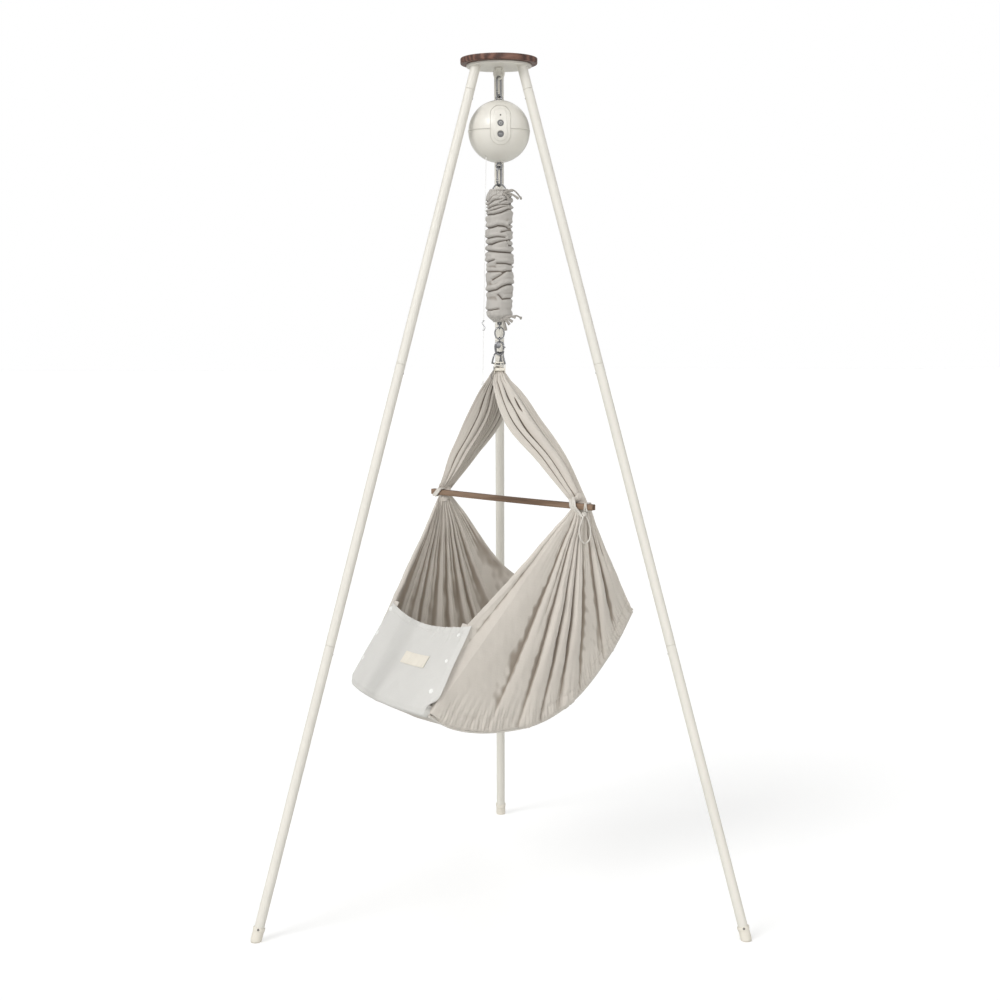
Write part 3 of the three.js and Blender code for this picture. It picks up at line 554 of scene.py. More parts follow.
def sensor_thread():
    route = [on_thread(z) for z in (THREAD_TOP.z, 1.6, 1.47, CLIP_Z, 1.28, THREAD_END_Z)]
    thread, path, length = cord_piece("sensor_thread_line", route, THREAD_R, 40, "thread", Matrix.Identity(4))
    stand_for(thread, "motor", "nylon", MATERIALS["thread"], "sensor_thread")

    # an S-shaped wire clip that the thread runs through, with an eye at each end
    middle = on_thread(CLIP_Z)
    wire = []
    for i in range(41):
        a = (i / 40 - 0.5) * math.tau * 1.02
        wire.append(middle + Vector((0.0034 * math.sin(a), -0.0016, -0.011 * (i / 40 - 0.5) * 2)))
    parts = [swept(wire, 0.0006, 8)]
    for up in (0.0105, -0.0105):
        eye = [middle + Vector((0.0021 * math.cos(i / 24 * math.tau), -0.0016 + 0.0021 * math.sin(i / 24 * math.tau),
                                up)) for i in range(24)]
        parts.append(swept(eye, 0.0006, 8, closed=True))
    clip = mesh_piece("thread_wire_clip", *together(*parts))
    stand_for(clip, "motor", "steel", MATERIALS["steel"], "thread_clip")

    # two small pale beads and a crimp end the thread
    low = on_thread(THREAD_END_Z)
    bead = lathe(rounded([(0, -0.0062), (0.0028, -0.0056), (0.0028, -0.0008), (0, -0.0003)], 0.0012), 24)
    second = lathe(rounded([(0, -0.0005), (0.0017, 0.0), (0.0019, 0.0042), (0.0008, 0.0052), (0, 0.0052)], 0.0007), 24)
    aside = Matrix.Translation(low) @ Matrix.Rotation(0.2, 4, "Y")
    beads = mesh_piece("thread_beads", *moved(together(bead, second), aside))
    stand_for(beads, "motor", "nylon", MATERIALS["thread"], "thread_bead")


TIE_R = 0.0018
UPPER_TAIL = ((0.020, -0.024, 1.650), (0.028, -0.026, 1.655), (0.038, -0.024, 1.650), (0.049, -0.020, 1.637))
LOWER_TAIL = ((0.016, -0.027, 1.366), (0.028, -0.028, 1.369), (0.039, -0.024, 1.371), (0.049, -0.020, 1.366))


def cover_ties():
    """The ends of the drawstrings at the top and the bottom of the spring's cover."""
    for place, route, body, seed in (("upper", UPPER_TAIL, "lift", 3), ("lower", LOWER_TAIL, "spring_end", 8)):
        tie, path, length = cord_piece(f"{place}_tie_cord", route, TIE_R, 24, "tape", AXIS)
        stand_for(tie, body, "grey_cloth", MATERIALS["tape"], f"cover_tie_{place}")
        end = knot(f"{place}_tie_knot", AXIS @ Vector(route[-1]), 0.0042, "tape", seed=seed)
        stand_for(end, body, "grey_cloth", MATERIALS["tape"])


def gather_at(side, z):
    along = Vector((math.cos(BAR_TURN), math.sin(BAR_TURN), 0))
    place = BAR_CENTRE + along * (side * GATHER_AT)
    place.z = z
    return place


def bow_cord():
    """The drawn cord's bow, hanging beside the bar's near end."""
    top = gather_at(1, BAR_CENTRE.z - 0.015)
    out = SIDE_X + 0.015
    across_down = ((0, 3, -3), (1, -4, -16), (0, -10, -36), (-1, -6, -58), (-1, 6, -69), (-1, 18, -60),
                   (0, 20, -38), (1, 13, -17), (0, 8, -3))
    route = [(out + x / 1000, top.y + y / 1000, top.z + z / 1000) for x, y, z in across_down]
    bow, path, length = cord_piece("bow_loop_cord", route, TIE_R, 40, "light_tape", CRADLE)
    stand_for(bow, "cradle", "greige_cloth", MATERIALS["light_tape"], "bow_cord")


sensor_thread()
cover_ties()
bow_cord()


# ---- Stand ----

LEG_LEAN = math.atan2(FOOT_CIRCLE_R - HEAD_CIRCLE_R, LEG_TOP_Z)
LEG_LENGTH = math.hypot(FOOT_CIRCLE_R - HEAD_CIRCLE_R, LEG_TOP_Z)


def leg_frame(degrees):
    """A frame whose Z runs up one leg from the floor."""
    turned = Matrix.Rotation(math.radians(degrees), 4, "Z")
    return AXIS @ turned @ Matrix.Translation((FOOT_CIRCLE_R, 0, 0)) @ Matrix.Rotation(-LEG_LEAN, 4, "Y")


def tube_shape(low, high):
    """One leg tube with broken edges, and the thinner spigot that plugs into the next."""
    bore = TUBE_R - TUBE_WALL
    plug = bore - GAP
    edge = 0.0007
    return lathe([
        (bore, low), (TUBE_R - edge, low), (TUBE_R - edge * 0.3, low + edge * 0.3), (TUBE_R, low + edge),
        (TUBE_R, low + 0.004), (TUBE_R, low + 0.008), (TUBE_R, high - 0.008), (TUBE_R, high - 0.004),
        (TUBE_R, high - edge), (TUBE_R - edge * 0.3, high - edge * 0.3), (TUBE_R - edge, high), (plug, high),
        (plug, high + SPIGOT_LENGTH), (plug - TUBE_WALL, high + SPIGOT_LENGTH),
        (plug - TUBE_WALL, high - 0.004), (bore, high - 0.008),
    ], 40)


def spring_pin(frame_of_leg, height, angle):
    """The domed button that locks a plug-in joint, on the tube's side."""
    dome = lathe(rounded([(0, -0.002), (0.0032, -0.002), (0.0032, 0.0006), (0.0022, 0.0016), (0, 0.0019)], 0.0008), 24)
    outward = Matrix.Rotation(angle, 4, "Z") @ Matrix.Translation((TUBE_R - 0.0004, 0, height))
    return moved(dome, frame_of_leg @ outward @ Matrix.Rotation(math.pi / 2, 4, "Y"))


def legs():
    ends = [LEG_LENGTH - SOCKET_LENGTH] + [LEG_LENGTH - d for d in TUBE_JOINTS] + [TUBE_END_ABOVE_FOOT]
    for side, degrees in LEGS.items():
        up = leg_frame(degrees)
        for i, part in enumerate(("upper", "middle", "lower")):
            shape = moved(tube_shape(ends[i + 1], ends[i] - GAP), up)
            tube = mesh_piece(f"{side}_{part}_leg_tube", *shape)
            stand_for(tube, "stand", "white_paint", MATERIALS["paint"], f"leg_{side}_{part}_tube")
        pins = [spring_pin(up, end - 0.018, math.pi) for end in ends[:3]]
        piece = mesh_piece(f"{side}_leg_lock_pins", *together(*pins))
        stand_for(piece, "stand", "steel", MATERIALS["steel"])
        foot(side, up)


def foot(side, up):
    """A moulded cap with a collar, cut level where it stands."""
    bore = TUBE_R + GAP
    inside = TUBE_END_ABOVE_FOOT - GAP
    outline = rounded([
        (0, -0.005), (CAP_R - 0.002, -0.005), (CAP_R, 0.004), (CAP_R, CAP_HEIGHT - 0.0095),
        (CAP_COLLAR_R, CAP_HEIGHT - 0.0075), (CAP_COLLAR_R, CAP_HEIGHT - 0.0005), (bore, CAP_HEIGHT), (bore, inside),
        (0, inside),
    ], 0.0012)
    cap = mesh_piece(f"{side}_foot_cap", *moved(lathe(outline, 48), up))
    cut = bmesh.new()
    cut.from_mesh(cap.data)
    everything = cut.verts[:] + cut.edges[:] + cut.faces[:]
    flat = bmesh.ops.bisect_plane(cut, geom=everything, plane_co=(0, 0, 0), plane_no=(0, 0, -1), clear_outer=True)
    edges = [e for e in flat["geom_cut"] if isinstance(e, bmesh.types.BMEdge)]
    bmesh.ops.holes_fill(cut, edges=edges, sides=0)
    cut.to_mesh(cap.data)
    cut.free()
    stand_for(cap, "stand", "foot_plastic", MATERIALS["foot"], f"foot_cap_{side}")
    screw = lathe(rounded([(0, -0.002), (0.0026, -0.002), (0.0026, 0.0002), (0.0009, 0.0002), (0.0009, -0.0005),
                           (0, -0.0005)], 0.0004), 24)
    place = up @ Matrix.Rotation(math.radians(60 if side == "left" else -60), 4, "Z")
    place = place @ Matrix.Translation((CAP_COLLAR_R, 0, CAP_HEIGHT - 0.004)) @ Matrix.Rotation(math.pi / 2, 4, "Y")
    piece = mesh_piece(f"{side}_foot_screw", *moved(screw, place))
    stand_for(piece, "stand", "steel", MATERIALS["dark"])


def head():
    """The wooden disc, the steel plate with its three welded sockets, and the eye bolt."""
    low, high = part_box("top_disc")
    radius = (high.x - low.x) / 2
    disc = lathe(rounded([(0, low.z), (radius - 0.0004, low.z), (radius, high.z), (0, high.z)], 0.0028, 6), 96)
    disc = mesh_piece("wooden_top_disc", *moved(disc, AXIS))
    stand_for(disc, "stand", "walnut", MATERIALS["disc_wood"], "top_disc")

    top = low.z - GAP
    bottom = top - 0.006
    r = 0.074
    plate = mesh_piece("head_plate_welded", *lathe(rounded([(0, bottom), (r, bottom), (r, top), (0, top)], 0.0014), 96))
    for degrees in LEGS.values():
        up = AXIS.inverted() @ leg_frame(degrees)
        reach = LEG_LENGTH - SOCKET_LENGTH
        bore = TUBE_R - TUBE_WALL
        outline = [(bore, reach), (TUBE_R - 0.0007, reach), (TUBE_R, reach + 0.0007), (TUBE_R, LEG_LENGTH + 0.0012),
                   (bore, LEG_LENGTH + 0.0012)]
        socket = mesh_piece("socket", *moved(lathe(outline, 48), up))
        boolean(plate, socket, "UNION")
        # the weld's fillet, where the socket meets the plate
        weld = []
        for i in range(48):
            a = i / 48 * math.tau
            edge = up @ Vector(((TUBE_R + 0.0002) * math.cos(a), (TUBE_R + 0.0002) * math.sin(a), LEG_LENGTH))
            down = (up.to_3x3() @ Vector((0, 0, 1))).normalized()
            weld.append(edge + down * ((bottom + 0.0002 - edge.z) / down.z))
        bead = mesh_piece("weld", *swept(weld, 0.0014, 10, closed=True))
        boolean(plate, bead, "UNION")
    plate.data.transform(AXIS)
    stand_for(plate, "stand", "white_paint", MATERIALS["paint"], "head_plate")

    flange = lathe(rounded([(0, bottom - GAP - 0.003), (0.0095, bottom - GAP - 0.003), (0.0095, bottom - GAP),
                            (0, bottom - GAP)], 0.0008), 48)
    neck = lathe(rounded([(0, bottom - 0.0075), (0.0036, bottom - 0.0075), (0.0062, bottom - GAP - 0.002),
                          (0, bottom - GAP - 0.002)], 0.0006), 48)
    ring = swept(ring_path(0.0105, 1.9155, "y"), 0.0026, 18, closed=True)
    eye = mesh_piece("ring_eye_bolt", *flange)
    boolean(eye, mesh_piece("neck", *neck), "UNION")
    boolean(eye, mesh_piece("ring", *ring), "UNION")
    eye.data.transform(AXIS)
    stand_for(eye, "stand", "white_paint", MATERIALS["paint"], "eye_bolt")


legs()
head()


# ---- Snap hooks ----

def snap_hook(name, node, gate_node, body, gate_body, top, bottom):
    """A spring hook bent from round steel, with a flat, drilled nose that its gate closes on."""
    w = 0.008
    nose = top - w - 0.003
    heel = bottom + w + 0.003
    p = [(-w, nose), (-w, top - w + 0.001), (-w * 0.7, top - w * 0.25), (0, top), (w * 0.7, top - w * 0.25),
         (w, top - w), (w, bottom + w), (w * 0.7, bottom + w * 0.25), (0, bottom), (-w * 0.7, bottom + w * 0.25),
         (-w, bottom + w - 0.001), (-w, heel)]
    path = smooth_path([(0, y, z) for y, z in p], 96)
    parts = [swept(path, lambda t: WIRE_R * (1 + 0.12 * math.exp(-((t - 0.01) / 0.03) ** 2)), 18)]
    for z in (heel - 0.0012, nose + 0.0012):
        collar = lathe(rounded([(0, -0.0011), (0.0027, -0.0011), (0.0027, 0.0011), (0, 0.0011)], 0.0006), 28)
        parts.append(moved(collar, Matrix.Translation((0, -w, z))))
    turned = AXIS @ Matrix.Rotation(HOOK_TURN, 4, "Z")
    hook = mesh_piece(name, *moved(together(*parts), turned))
    stand_for(hook, body, "steel", MATERIALS["steel"], node)

    gate_low, gate_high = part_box(gate_node)
    r = WIRE_R - 0.0002
    gate = lathe(rounded([(0, gate_low.z), (r, gate_low.z), (r, gate_low.z + 0.004), (r * 0.86, gate_low.z + 0.0046),
                          (r * 0.86, gate_high.z - 0.003), (r, gate_high.z - 0.0024), (r, gate_high.z),
                          (0, gate_high.z)], 0.0003), 28)
    rivet = moved(lathe(rounded([(0, -0.0026), (0.0009, -0.0026), (0.0009, 0.0026), (0, 0.0026)], 0.0003), 20),
                  Matrix.Translation((0, 0, gate_low.z + 0.002)) @ Matrix.Rotation(math.pi / 2, 4, "Y"))
    piece = mesh_piece(f"{name}_gate", *moved(together(gate, rivet), turned @ Matrix.Translation((0, -w, 0))))
    stand_for(piece, gate_body, "steel", MATERIALS["steel"], gate_node)


snap_hook("upper_spring_hook", "upper_hook", "upper_hook_gate", "hook", "hook_gate", 1.9101, 1.8640)
snap_hook("lower_spring_hook", "lower_hook", "lower_hook_gate", "lift", "lower_gate", 1.7093, 1.6653)


# ---- Motor unit ----

BALL_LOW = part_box("motor_shell_lower")[0]
BALL_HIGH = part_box("motor_shell_upper")[1]
BALL_R = 0.07
BALL_Z = 1.7875
UNIT = AXIS @ Matrix.Translation((0, 0, BALL_Z)) @ Matrix.Rotation(PANEL_TURN, 4, "Z")


def shell_outline(sign, hole):
    """A half ball's wall with its lip at the seam and a rolled edge at its hole."""
    wall = 0.0025
    seam = 0.00022
    points = [(BALL_R + 0.0002, sign * seam), (BALL_R + 0.0008, sign * 0.0006), (BALL_R + 0.0008, sign * 0.0017),
              (BALL_R + 0.0003, sign * 0.0023)]
    first, last = math.asin(0.0026 / BALL_R), math.acos((hole + 0.0006) / BALL_R)
    for i in range(37):
        a = first + (last - first) * i / 36
        points.append((BALL_R * math.cos(a), sign * BALL_R * math.sin(a)))
    inner = BALL_R - wall
    points.append((hole, sign * (BALL_R * math.sin(last) - 0.0006)))
    top = math.acos(hole / inner)
    for i in range(25):
        a = top + (math.asin(seam / inner) - top) * i / 24
        points.append((inner * math.cos(a), sign * inner * math.sin(a)))
    return points


def pill_prism(width, height, y0, y1, steps=40):
    """A pill-shaped block from y0 to y1, standing on its end."""
    r = width / 2
    straight = height / 2 - r
    ring = []
    for half, first in ((1, 0), (-1, math.pi)):
        for i in range(steps + 1):
            a = first + i / steps * math.pi
            ring.append((r * math.cos(a), half * straight + r * math.sin(a)))
    n = len(ring)
    points = [(x, y, z) for y in (y0, y1) for x, z in ring]
    faces = [tuple(range(n)), tuple(range(n, 2 * n))[::-1]]
    faces += [(i, (i + 1) % n, n + (i + 1) % n, n + i) for i in range(n)]
    return points, faces


def ball():
    for name, sign, hole, cut_low in (("upper", 1, 0.007, 0), ("lower", -1, 0.0095, 0)):
        shell = mesh_piece(f"{name}_ball_shell", *lathe(shell_outline(sign, hole), 128))
        opening = pill_prism(PANEL_WIDTH + 2 * GAP, PANEL_HEIGHT + 2 * GAP, -0.09, -0.02)
        cutter = mesh_piece("opening", *moved(opening, Matrix.Translation((0, 0, PANEL_RISE))))
        boolean(shell, cutter, "DIFFERENCE")
        if name == "lower":
            hole_piece = moved(lathe([(0, -0.09), (0.0018, -0.09), (0.0018, -0.03), (0, -0.03)], 20),
                               Matrix.Translation((THREAD_TOP.x, THREAD_TOP.y, 0)))
            boolean(shell, mesh_piece("thread_hole", *hole_piece), "DIFFERENCE")
        shell.data.transform(UNIT)
        stand_for(shell, "motor", "shell_plastic", MATERIALS["shell"], f"motor_shell_{name}")


def panel():
    """The control panel: a pill-shaped window of the ball with a raised inner pill, two buttons and a light."""
    inner_half, inner_rise = 0.0155, 0.0009
    inner_straight = 0.022
    outer = (PANEL_WIDTH / 2 - 0.0001, PANEL_HEIGHT / 2 - PANEL_WIDTH / 2)

    def rise(x, z):
        """The panel's height over the ball at a place on its face."""
        depth = PANEL_WIDTH / 2 - math.hypot(x, max(abs(z) - outer[1], 0))
        inner = inner_half - math.hypot(x, max(abs(z) - inner_straight, 0))
        height = -0.0004 - 0.0006 * (1 - float(smooth_step(depth / 0.0016)))
        height += inner_rise * float(smooth_step(inner / 0.0014))
        for place in list(BUTTON_RISES.values()):
            away = math.hypot(x, z + PANEL_RISE - place) - BUTTON_R
            height -= 0.0009 * (1 - float(smooth_step((away - 0.0003) / 0.0014)))
        return height

    # a grid in pill coordinates: across by angle and share, drawn with even cells
    rows, columns = 150, 78
    points = []
    index = {}
    faces = []
    half_h = PANEL_HEIGHT / 2
    for i in range(rows + 1):
        z = half_h * math.sin((i / rows - 0.5) * math.pi * 0.98) / math.sin(0.49 * math.pi) * 0.9995
        over = max(abs(z) - outer[1], 0)
        half_w = math.sqrt((PANEL_WIDTH / 2) ** 2 - over ** 2)
        for j in range(columns + 1):
            x = half_w * (2 * j / columns - 1)
            for back in (0, 1):
                r = BALL_R - 0.0036 if back else BALL_R + rise(x, z)
                zz = z + PANEL_RISE
                index[i, j, back] = len(points)
                points.append((x, -math.sqrt(max(r * r - x * x - zz * zz, 1e-6)), zz))
    for i in range(rows):
        for j in range(columns):
            for back in (0, 1):
                faces.append([index[i, j, back], index[i, j + 1, back], index[i + 1, j + 1, back],
                              index[i + 1, j, back]][::1 if back else -1])
    border = [(0, j) for j in range(columns)] + [(i, columns) for i in range(rows)]
    border += [(rows, j) for j in range(columns, 0, -1)] + [(i, 0) for i in range(rows, 0, -1)]
    for a, b in zip(border, border[1:] + border[:1]):
        faces.append([index[(*a, 0)], index[(*b, 0)], index[(*b, 1)], index[(*a, 1)]])
    plate = mesh_piece("control_panel_plate", points, faces, sharp=50)
    holes = [(place, BUTTON_R + GAP) for place in BUTTON_RISES.values()] + [(LIGHT_RISE, 0.0015 + GAP)]
    for place, r in holes:
        bore = lathe([(0, -0.02), (r, -0.02), (r, 0.03), (0, 0.03)], 48)
        bore = moved(bore, Matrix.Translation((0, -0.06, place)) @ Matrix.Rotation(math.pi / 2, 4, "X"))
        boolean(plate, mesh_piece("bore", *bore), "DIFFERENCE")
    plate.data.transform(UNIT)
    stand_for(plate, "motor", "shell_plastic", MATERIALS["shell"], "control_panel")

    facing = Matrix.Rotation(math.pi / 2, 4, "X")
    for name, place in BUTTON_RISES.items():
        front = math.sqrt(BALL_R ** 2 - place ** 2) - 0.0006
        cap = lathe(rounded([(0, 0.058), (BUTTON_R, 0.058), (BUTTON_R, front - 0.0006), (BUTTON_R * 0.55, front),
                             (0, front)], 0.0009), 56)
        at = UNIT @ Matrix.Translation((0, 0, place)) @ facing
        key = mesh_piece(f"{name}_soft_button", *moved(cap, at))
        stand_for(key, f"{name}_key", "button_grey", MATERIALS["button"], f"{name}_button")
        raised = front + 0.0001
        if name == "power":
            ring = [Vector((0.0031 * math.cos(a), 0.0031 * math.sin(a), raised))
                    for a in (i / 40 * math.tau for i in range(40))]
            mark = [swept(ring, 0.0005, 8, closed=True)]
            mark.append(swept([Vector((0, 0.0004, raised)), Vector((0, 0.0022, raised))], 0.0005, 8))
        else:
            mark = []
            for x in (-0.0028, 0, 0.0028):
                dome = lathe([(0, -0.0004), (0.0008, -0.0002), (0.0006, 0.0003), (0, 0.0005)], 16)
                mark.append(moved(dome, Matrix.Translation((x, 0, raised))))
        piece = mesh_piece(f"{name}_button_mark", *moved(together(*mark), at))
        stand_for(piece, f"{name}_key", "button_grey", MATERIALS["mark"])
    front = math.sqrt(BALL_R ** 2 - LIGHT_RISE ** 2) - 0.0002
    lens = lathe(rounded([(0, 0.052), (0.0015, 0.052), (0.0015, front - 0.0005), (0, front)], 0.0004), 28)
    lens = mesh_piece("status_light_lens", *moved(lens, UNIT @ Matrix.Translation((0, 0, LIGHT_RISE)) @ facing))
    stand_for(lens, "motor", "dark_plastic", MATERIALS["dark"], "status_light")


def motor_eyes():
    """The steel eyes above and below the ball."""
    eye_r = 0.0059
    top_z = 1.8628 - BALL_Z
    top = together(swept(ring_path(eye_r, top_z, "y", 40), WIRE_R, 16, closed=True),
                   lathe(rounded([(0, 0.051), (0.004, 0.051), (0.004, top_z - eye_r - 0.001), (0.0028, top_z - eye_r),
                                  (0, top_z - eye_r)], 0.0006), 32),
                   lathe(rounded([(0, 0.0475), (0.008, 0.0475), (0.008, 0.0514), (0, 0.0514)], 0.0008), 32))
    eye = mesh_piece("motor_upper_eye", *moved(top, UNIT))
    stand_for(eye, "motor", "steel", MATERIALS["steel"], "motor_top_eye")

    low_z = 1.7105 - BALL_Z
    rod_top = -0.024
    strap = [(sx * 0.0006, sy * 0.007, z) for z in (-0.0245, 0.016) for sx, sy in ((-1, -1), (1, -1), (1, 1), (-1, 1))]
    strap_faces = [(0, 3, 2, 1), (4, 5, 6, 7), (0, 1, 5, 4), (1, 2, 6, 5), (2, 3, 7, 6), (3, 0, 4, 7)]
    low = together(swept(ring_path(eye_r, low_z, "y", 40), WIRE_R, 16, closed=True),
                   lathe(rounded([(0, low_z + eye_r), (0.0024, low_z + eye_r), (0.0035, low_z + eye_r + 0.002),
                                  (0.0035, rod_top), (0, rod_top)], 0.0006), 32),
                   (strap, strap_faces))
    rod = mesh_piece("lifting_rod_eye", *moved(low, UNIT))
    stand_for(rod, "lift", "steel", MATERIALS["steel"], "lift_rod")


ball()
panel()
motor_eyes()


# ---- Inside parts that stay as they are in CAD ----

KEPT = {"circuit_board": "board", "motor_chassis": "steel", "lifting_drum": "steel", "gear_motor": "dark"}
for node, look in KEPT.items():
    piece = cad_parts[node]
    piece.data.materials.clear()
    piece.data.materials.append(MATERIALS[look])


# ---- Cloth tools ----

def smoothed(grid, sigma, axis):
    """The grid blurred along one axis; past its ends it is carried on point-symmetrically."""
    reach = int(sigma * 3)
    ahead = np.moveaxis(grid, axis, 0)
    before = 2 * ahead[:1] - ahead[reach:0:-1]
    after = 2 * ahead[-1:] - ahead[-2:-reach - 2:-1]
    long = np.concatenate([before, ahead, after])
    kernel = np.exp(-0.5 * (np.arange(-reach, reach + 1) / sigma) ** 2)
    kernel /= kernel.sum()
    out = sum(w * long[k:k + len(ahead)] for k, w in enumerate(kernel))
    return np.moveaxis(out, 0, axis)


def hollows(grid, normal, widths=((0, 5), (0, 12))):
    """How deep each point lies between its neighbours, in shares of their distance; ridges are below 0."""
    deep = np.zeros(grid.shape[:2])
    for axis, sigma in widths:
        if grid.shape[axis] < sigma * 4:
            continue
        off = ((smoothed(grid, sigma, axis) - grid) * normal).sum(axis=2)
        step = np.linalg.norm(np.gradient(grid, axis=axis), axis=2)
        step = np.maximum(smoothed(step, sigma, axis), 1e-5)
        deep += off / (step * 2 * sigma)
    return np.where(deep > 0, np.maximum(deep - 0.016, 0), np.minimum(deep + 0.016, 0))


def sheet_mesh(name, grid, uv, thickness, matrix=Matrix.Identity(4), material=None, sharp=70, shade=0.0, darkest=1.0,
               widths=((0, 5), (0, 12)), front_share=1.0):
    """A closed sheet of cloth about a grid of points; thickness and shade, the strength of the painted shade in its
    folds, are numbers or one for each point.
    """
    rows, columns = grid.shape[:2]
    down = np.gradient(grid, axis=0)
    across = np.gradient(grid, axis=1)
    normal = np.cross(down, across)
    normal /= np.maximum(np.linalg.norm(normal, axis=2, keepdims=True), 1e-12)
    half = np.broadcast_to(np.asarray(thickness, float), (rows, columns))[..., None] / 2
    points = np.concatenate([(grid + normal * half).reshape(-1, 3), (grid - normal * half).reshape(-1, 3)])
    index = np.arange(rows * columns).reshape(rows, columns)
    a, b, c, d = index[:-1, :-1], index[1:, :-1], index[1:, 1:], index[:-1, 1:]
    front = np.stack([a, b, c, d], axis=-1).reshape(-1, 4)
    back = front[:, ::-1] + rows * columns
    loop = np.concatenate([index[0, :-1], index[:-1, -1], index[-1, :0:-1], index[:0:-1, 0]])
    after = np.roll(loop, -1)
    rim = np.stack([loop, after, after + rows * columns, loop + rows * columns], axis=-1)
    faces = np.concatenate([front, back, rim])
    data = bpy.data.meshes.new(name)
    data.from_pydata(points.tolist(), [], faces.tolist())
    layer = data.uv_layers.new(name="cloth")
    flat = np.concatenate([uv.reshape(-1, 2)] * 2)
    layer.data.foreach_set("uv", flat[faces.reshape(-1)].astype(np.float32).reshape(-1))
    if np.any(shade):
        # painted shade: the hollow attribute darkens the cloth's colour deep in a fold, where little light reaches
        deep = darkest * np.tanh(hollows(grid, normal, widths) * shade / darkest)
        both = np.clip(np.concatenate([deep.reshape(-1) * front_share, -deep.reshape(-1)]), 0, 1)
        data.attributes.new("hollow", "FLOAT", "POINT").data.foreach_set("value", both.astype(np.float32))
    data.transform(matrix)
    data.shade_smooth()
    data.set_sharp_from_angle(angle=math.radians(sharp))
    piece = bpy.data.objects.new(name, data)
    bpy.context.scene.collection.objects.link(piece)
    if material:
        data.materials.append(MATERIALS[material])
    return piece


def control(at, stops, values):
    """A value that changes smoothly through the stops."""
    at = np.asarray(at, float)
    out = np.full(at.shape, float(values[0]))
    for i in range(len(stops) - 1):
        t = smooth_step((at - stops[i]) / (stops[i + 1] - stops[i]))
        out = out + (values[i + 1] - values[i]) * t
    return out


def through(at, stops, values):
    """A value on one smooth curve through the stops."""
    at = np.asarray(at, float)
    slopes = np.gradient(np.asarray(values, float), np.asarray(stops, float))
    out = np.full(at.shape, float(values[0]))
    for i in range(len(stops) - 1):
        span = stops[i + 1] - stops[i]
        t = np.clip((at - stops[i]) / span, 0, 1)
        step = (values[i + 1] - values[i]) * t * t * (3 - 2 * t)
        bend = span * (slopes[i] * t * (1 - t) ** 2 - slopes[i + 1] * t * t * (1 - t))
        out = out + step + bend
    return out


def pleats(u, t, valleys, heights, stops, power=0.75, lean=0.0):
    """Rounded ridges between sharp valleys. Each ridge has one height per stop along t; lean moves its crest aside."""
    out = np.zeros(np.broadcast(u, t).shape)
    for a, b, height in zip(valleys, valleys[1:], heights):
        w = np.clip((u - a) / (b - a), 0, 1)
        w = w ** (1 + lean) if lean >= 0 else 1 - (1 - w) ** (1 - lean)
        inside = (u >= a) & (u < b)
        out = out + inside * control(t, stops, height) * np.sin(np.pi * w) ** power
    return out


def waves(x, y, seed, count, scale, strength, stretch=1.0):
    """A soft, seeded, uneven surface: a sum of sine waves in turned directions."""
    draw = random.Random(seed)
    out = np.zeros(np.broadcast(x, y).shape)
    for _ in range(count):
        a = draw.uniform(0, math.tau)
        f = draw.uniform(0.6, 1.5) * math.tau / scale
        out = out + np.sin(f * (math.cos(a) * x + math.sin(a) * y * stretch) + draw.uniform(0, math.tau))
    return out * strength / math.sqrt(count)


def stitches(name, path, up, material, length=0.0026, gap=0.0014, r=0.00028, matrix=Matrix.Identity(4)):
    """A row of thread stitches, each sunk at its ends, along a path. up gives the cloth's outward side."""
    path = [Vector(p) for p in path]
    total = sum((b - a).length for a, b in zip(path, path[1:]))
    count = max(2, int(total / (length + gap)))
    even = smooth_path(path, count * 8)
    shapes = []
    for i in range(count):
        some = even[i * 8:i * 8 + 6]
        side = Vector(up(some[2])) if callable(up) else Vector(up)
        lift = (-0.0002, 0.0001, 0.0002, 0.0002, 0.0001, -0.0002)
        shapes.append(swept([p + side * h for p, h in zip(some, lift)], r, 5))
    piece = mesh_piece(name, *moved(together(*shapes), matrix))
    piece.data.materials.append(MATERIALS[material])
    return piece


# ---- Spring, its cover and its hardware ----

COVER_TOP = 1.656
COVER_LOW = 1.358
COVER_R = 0.0305

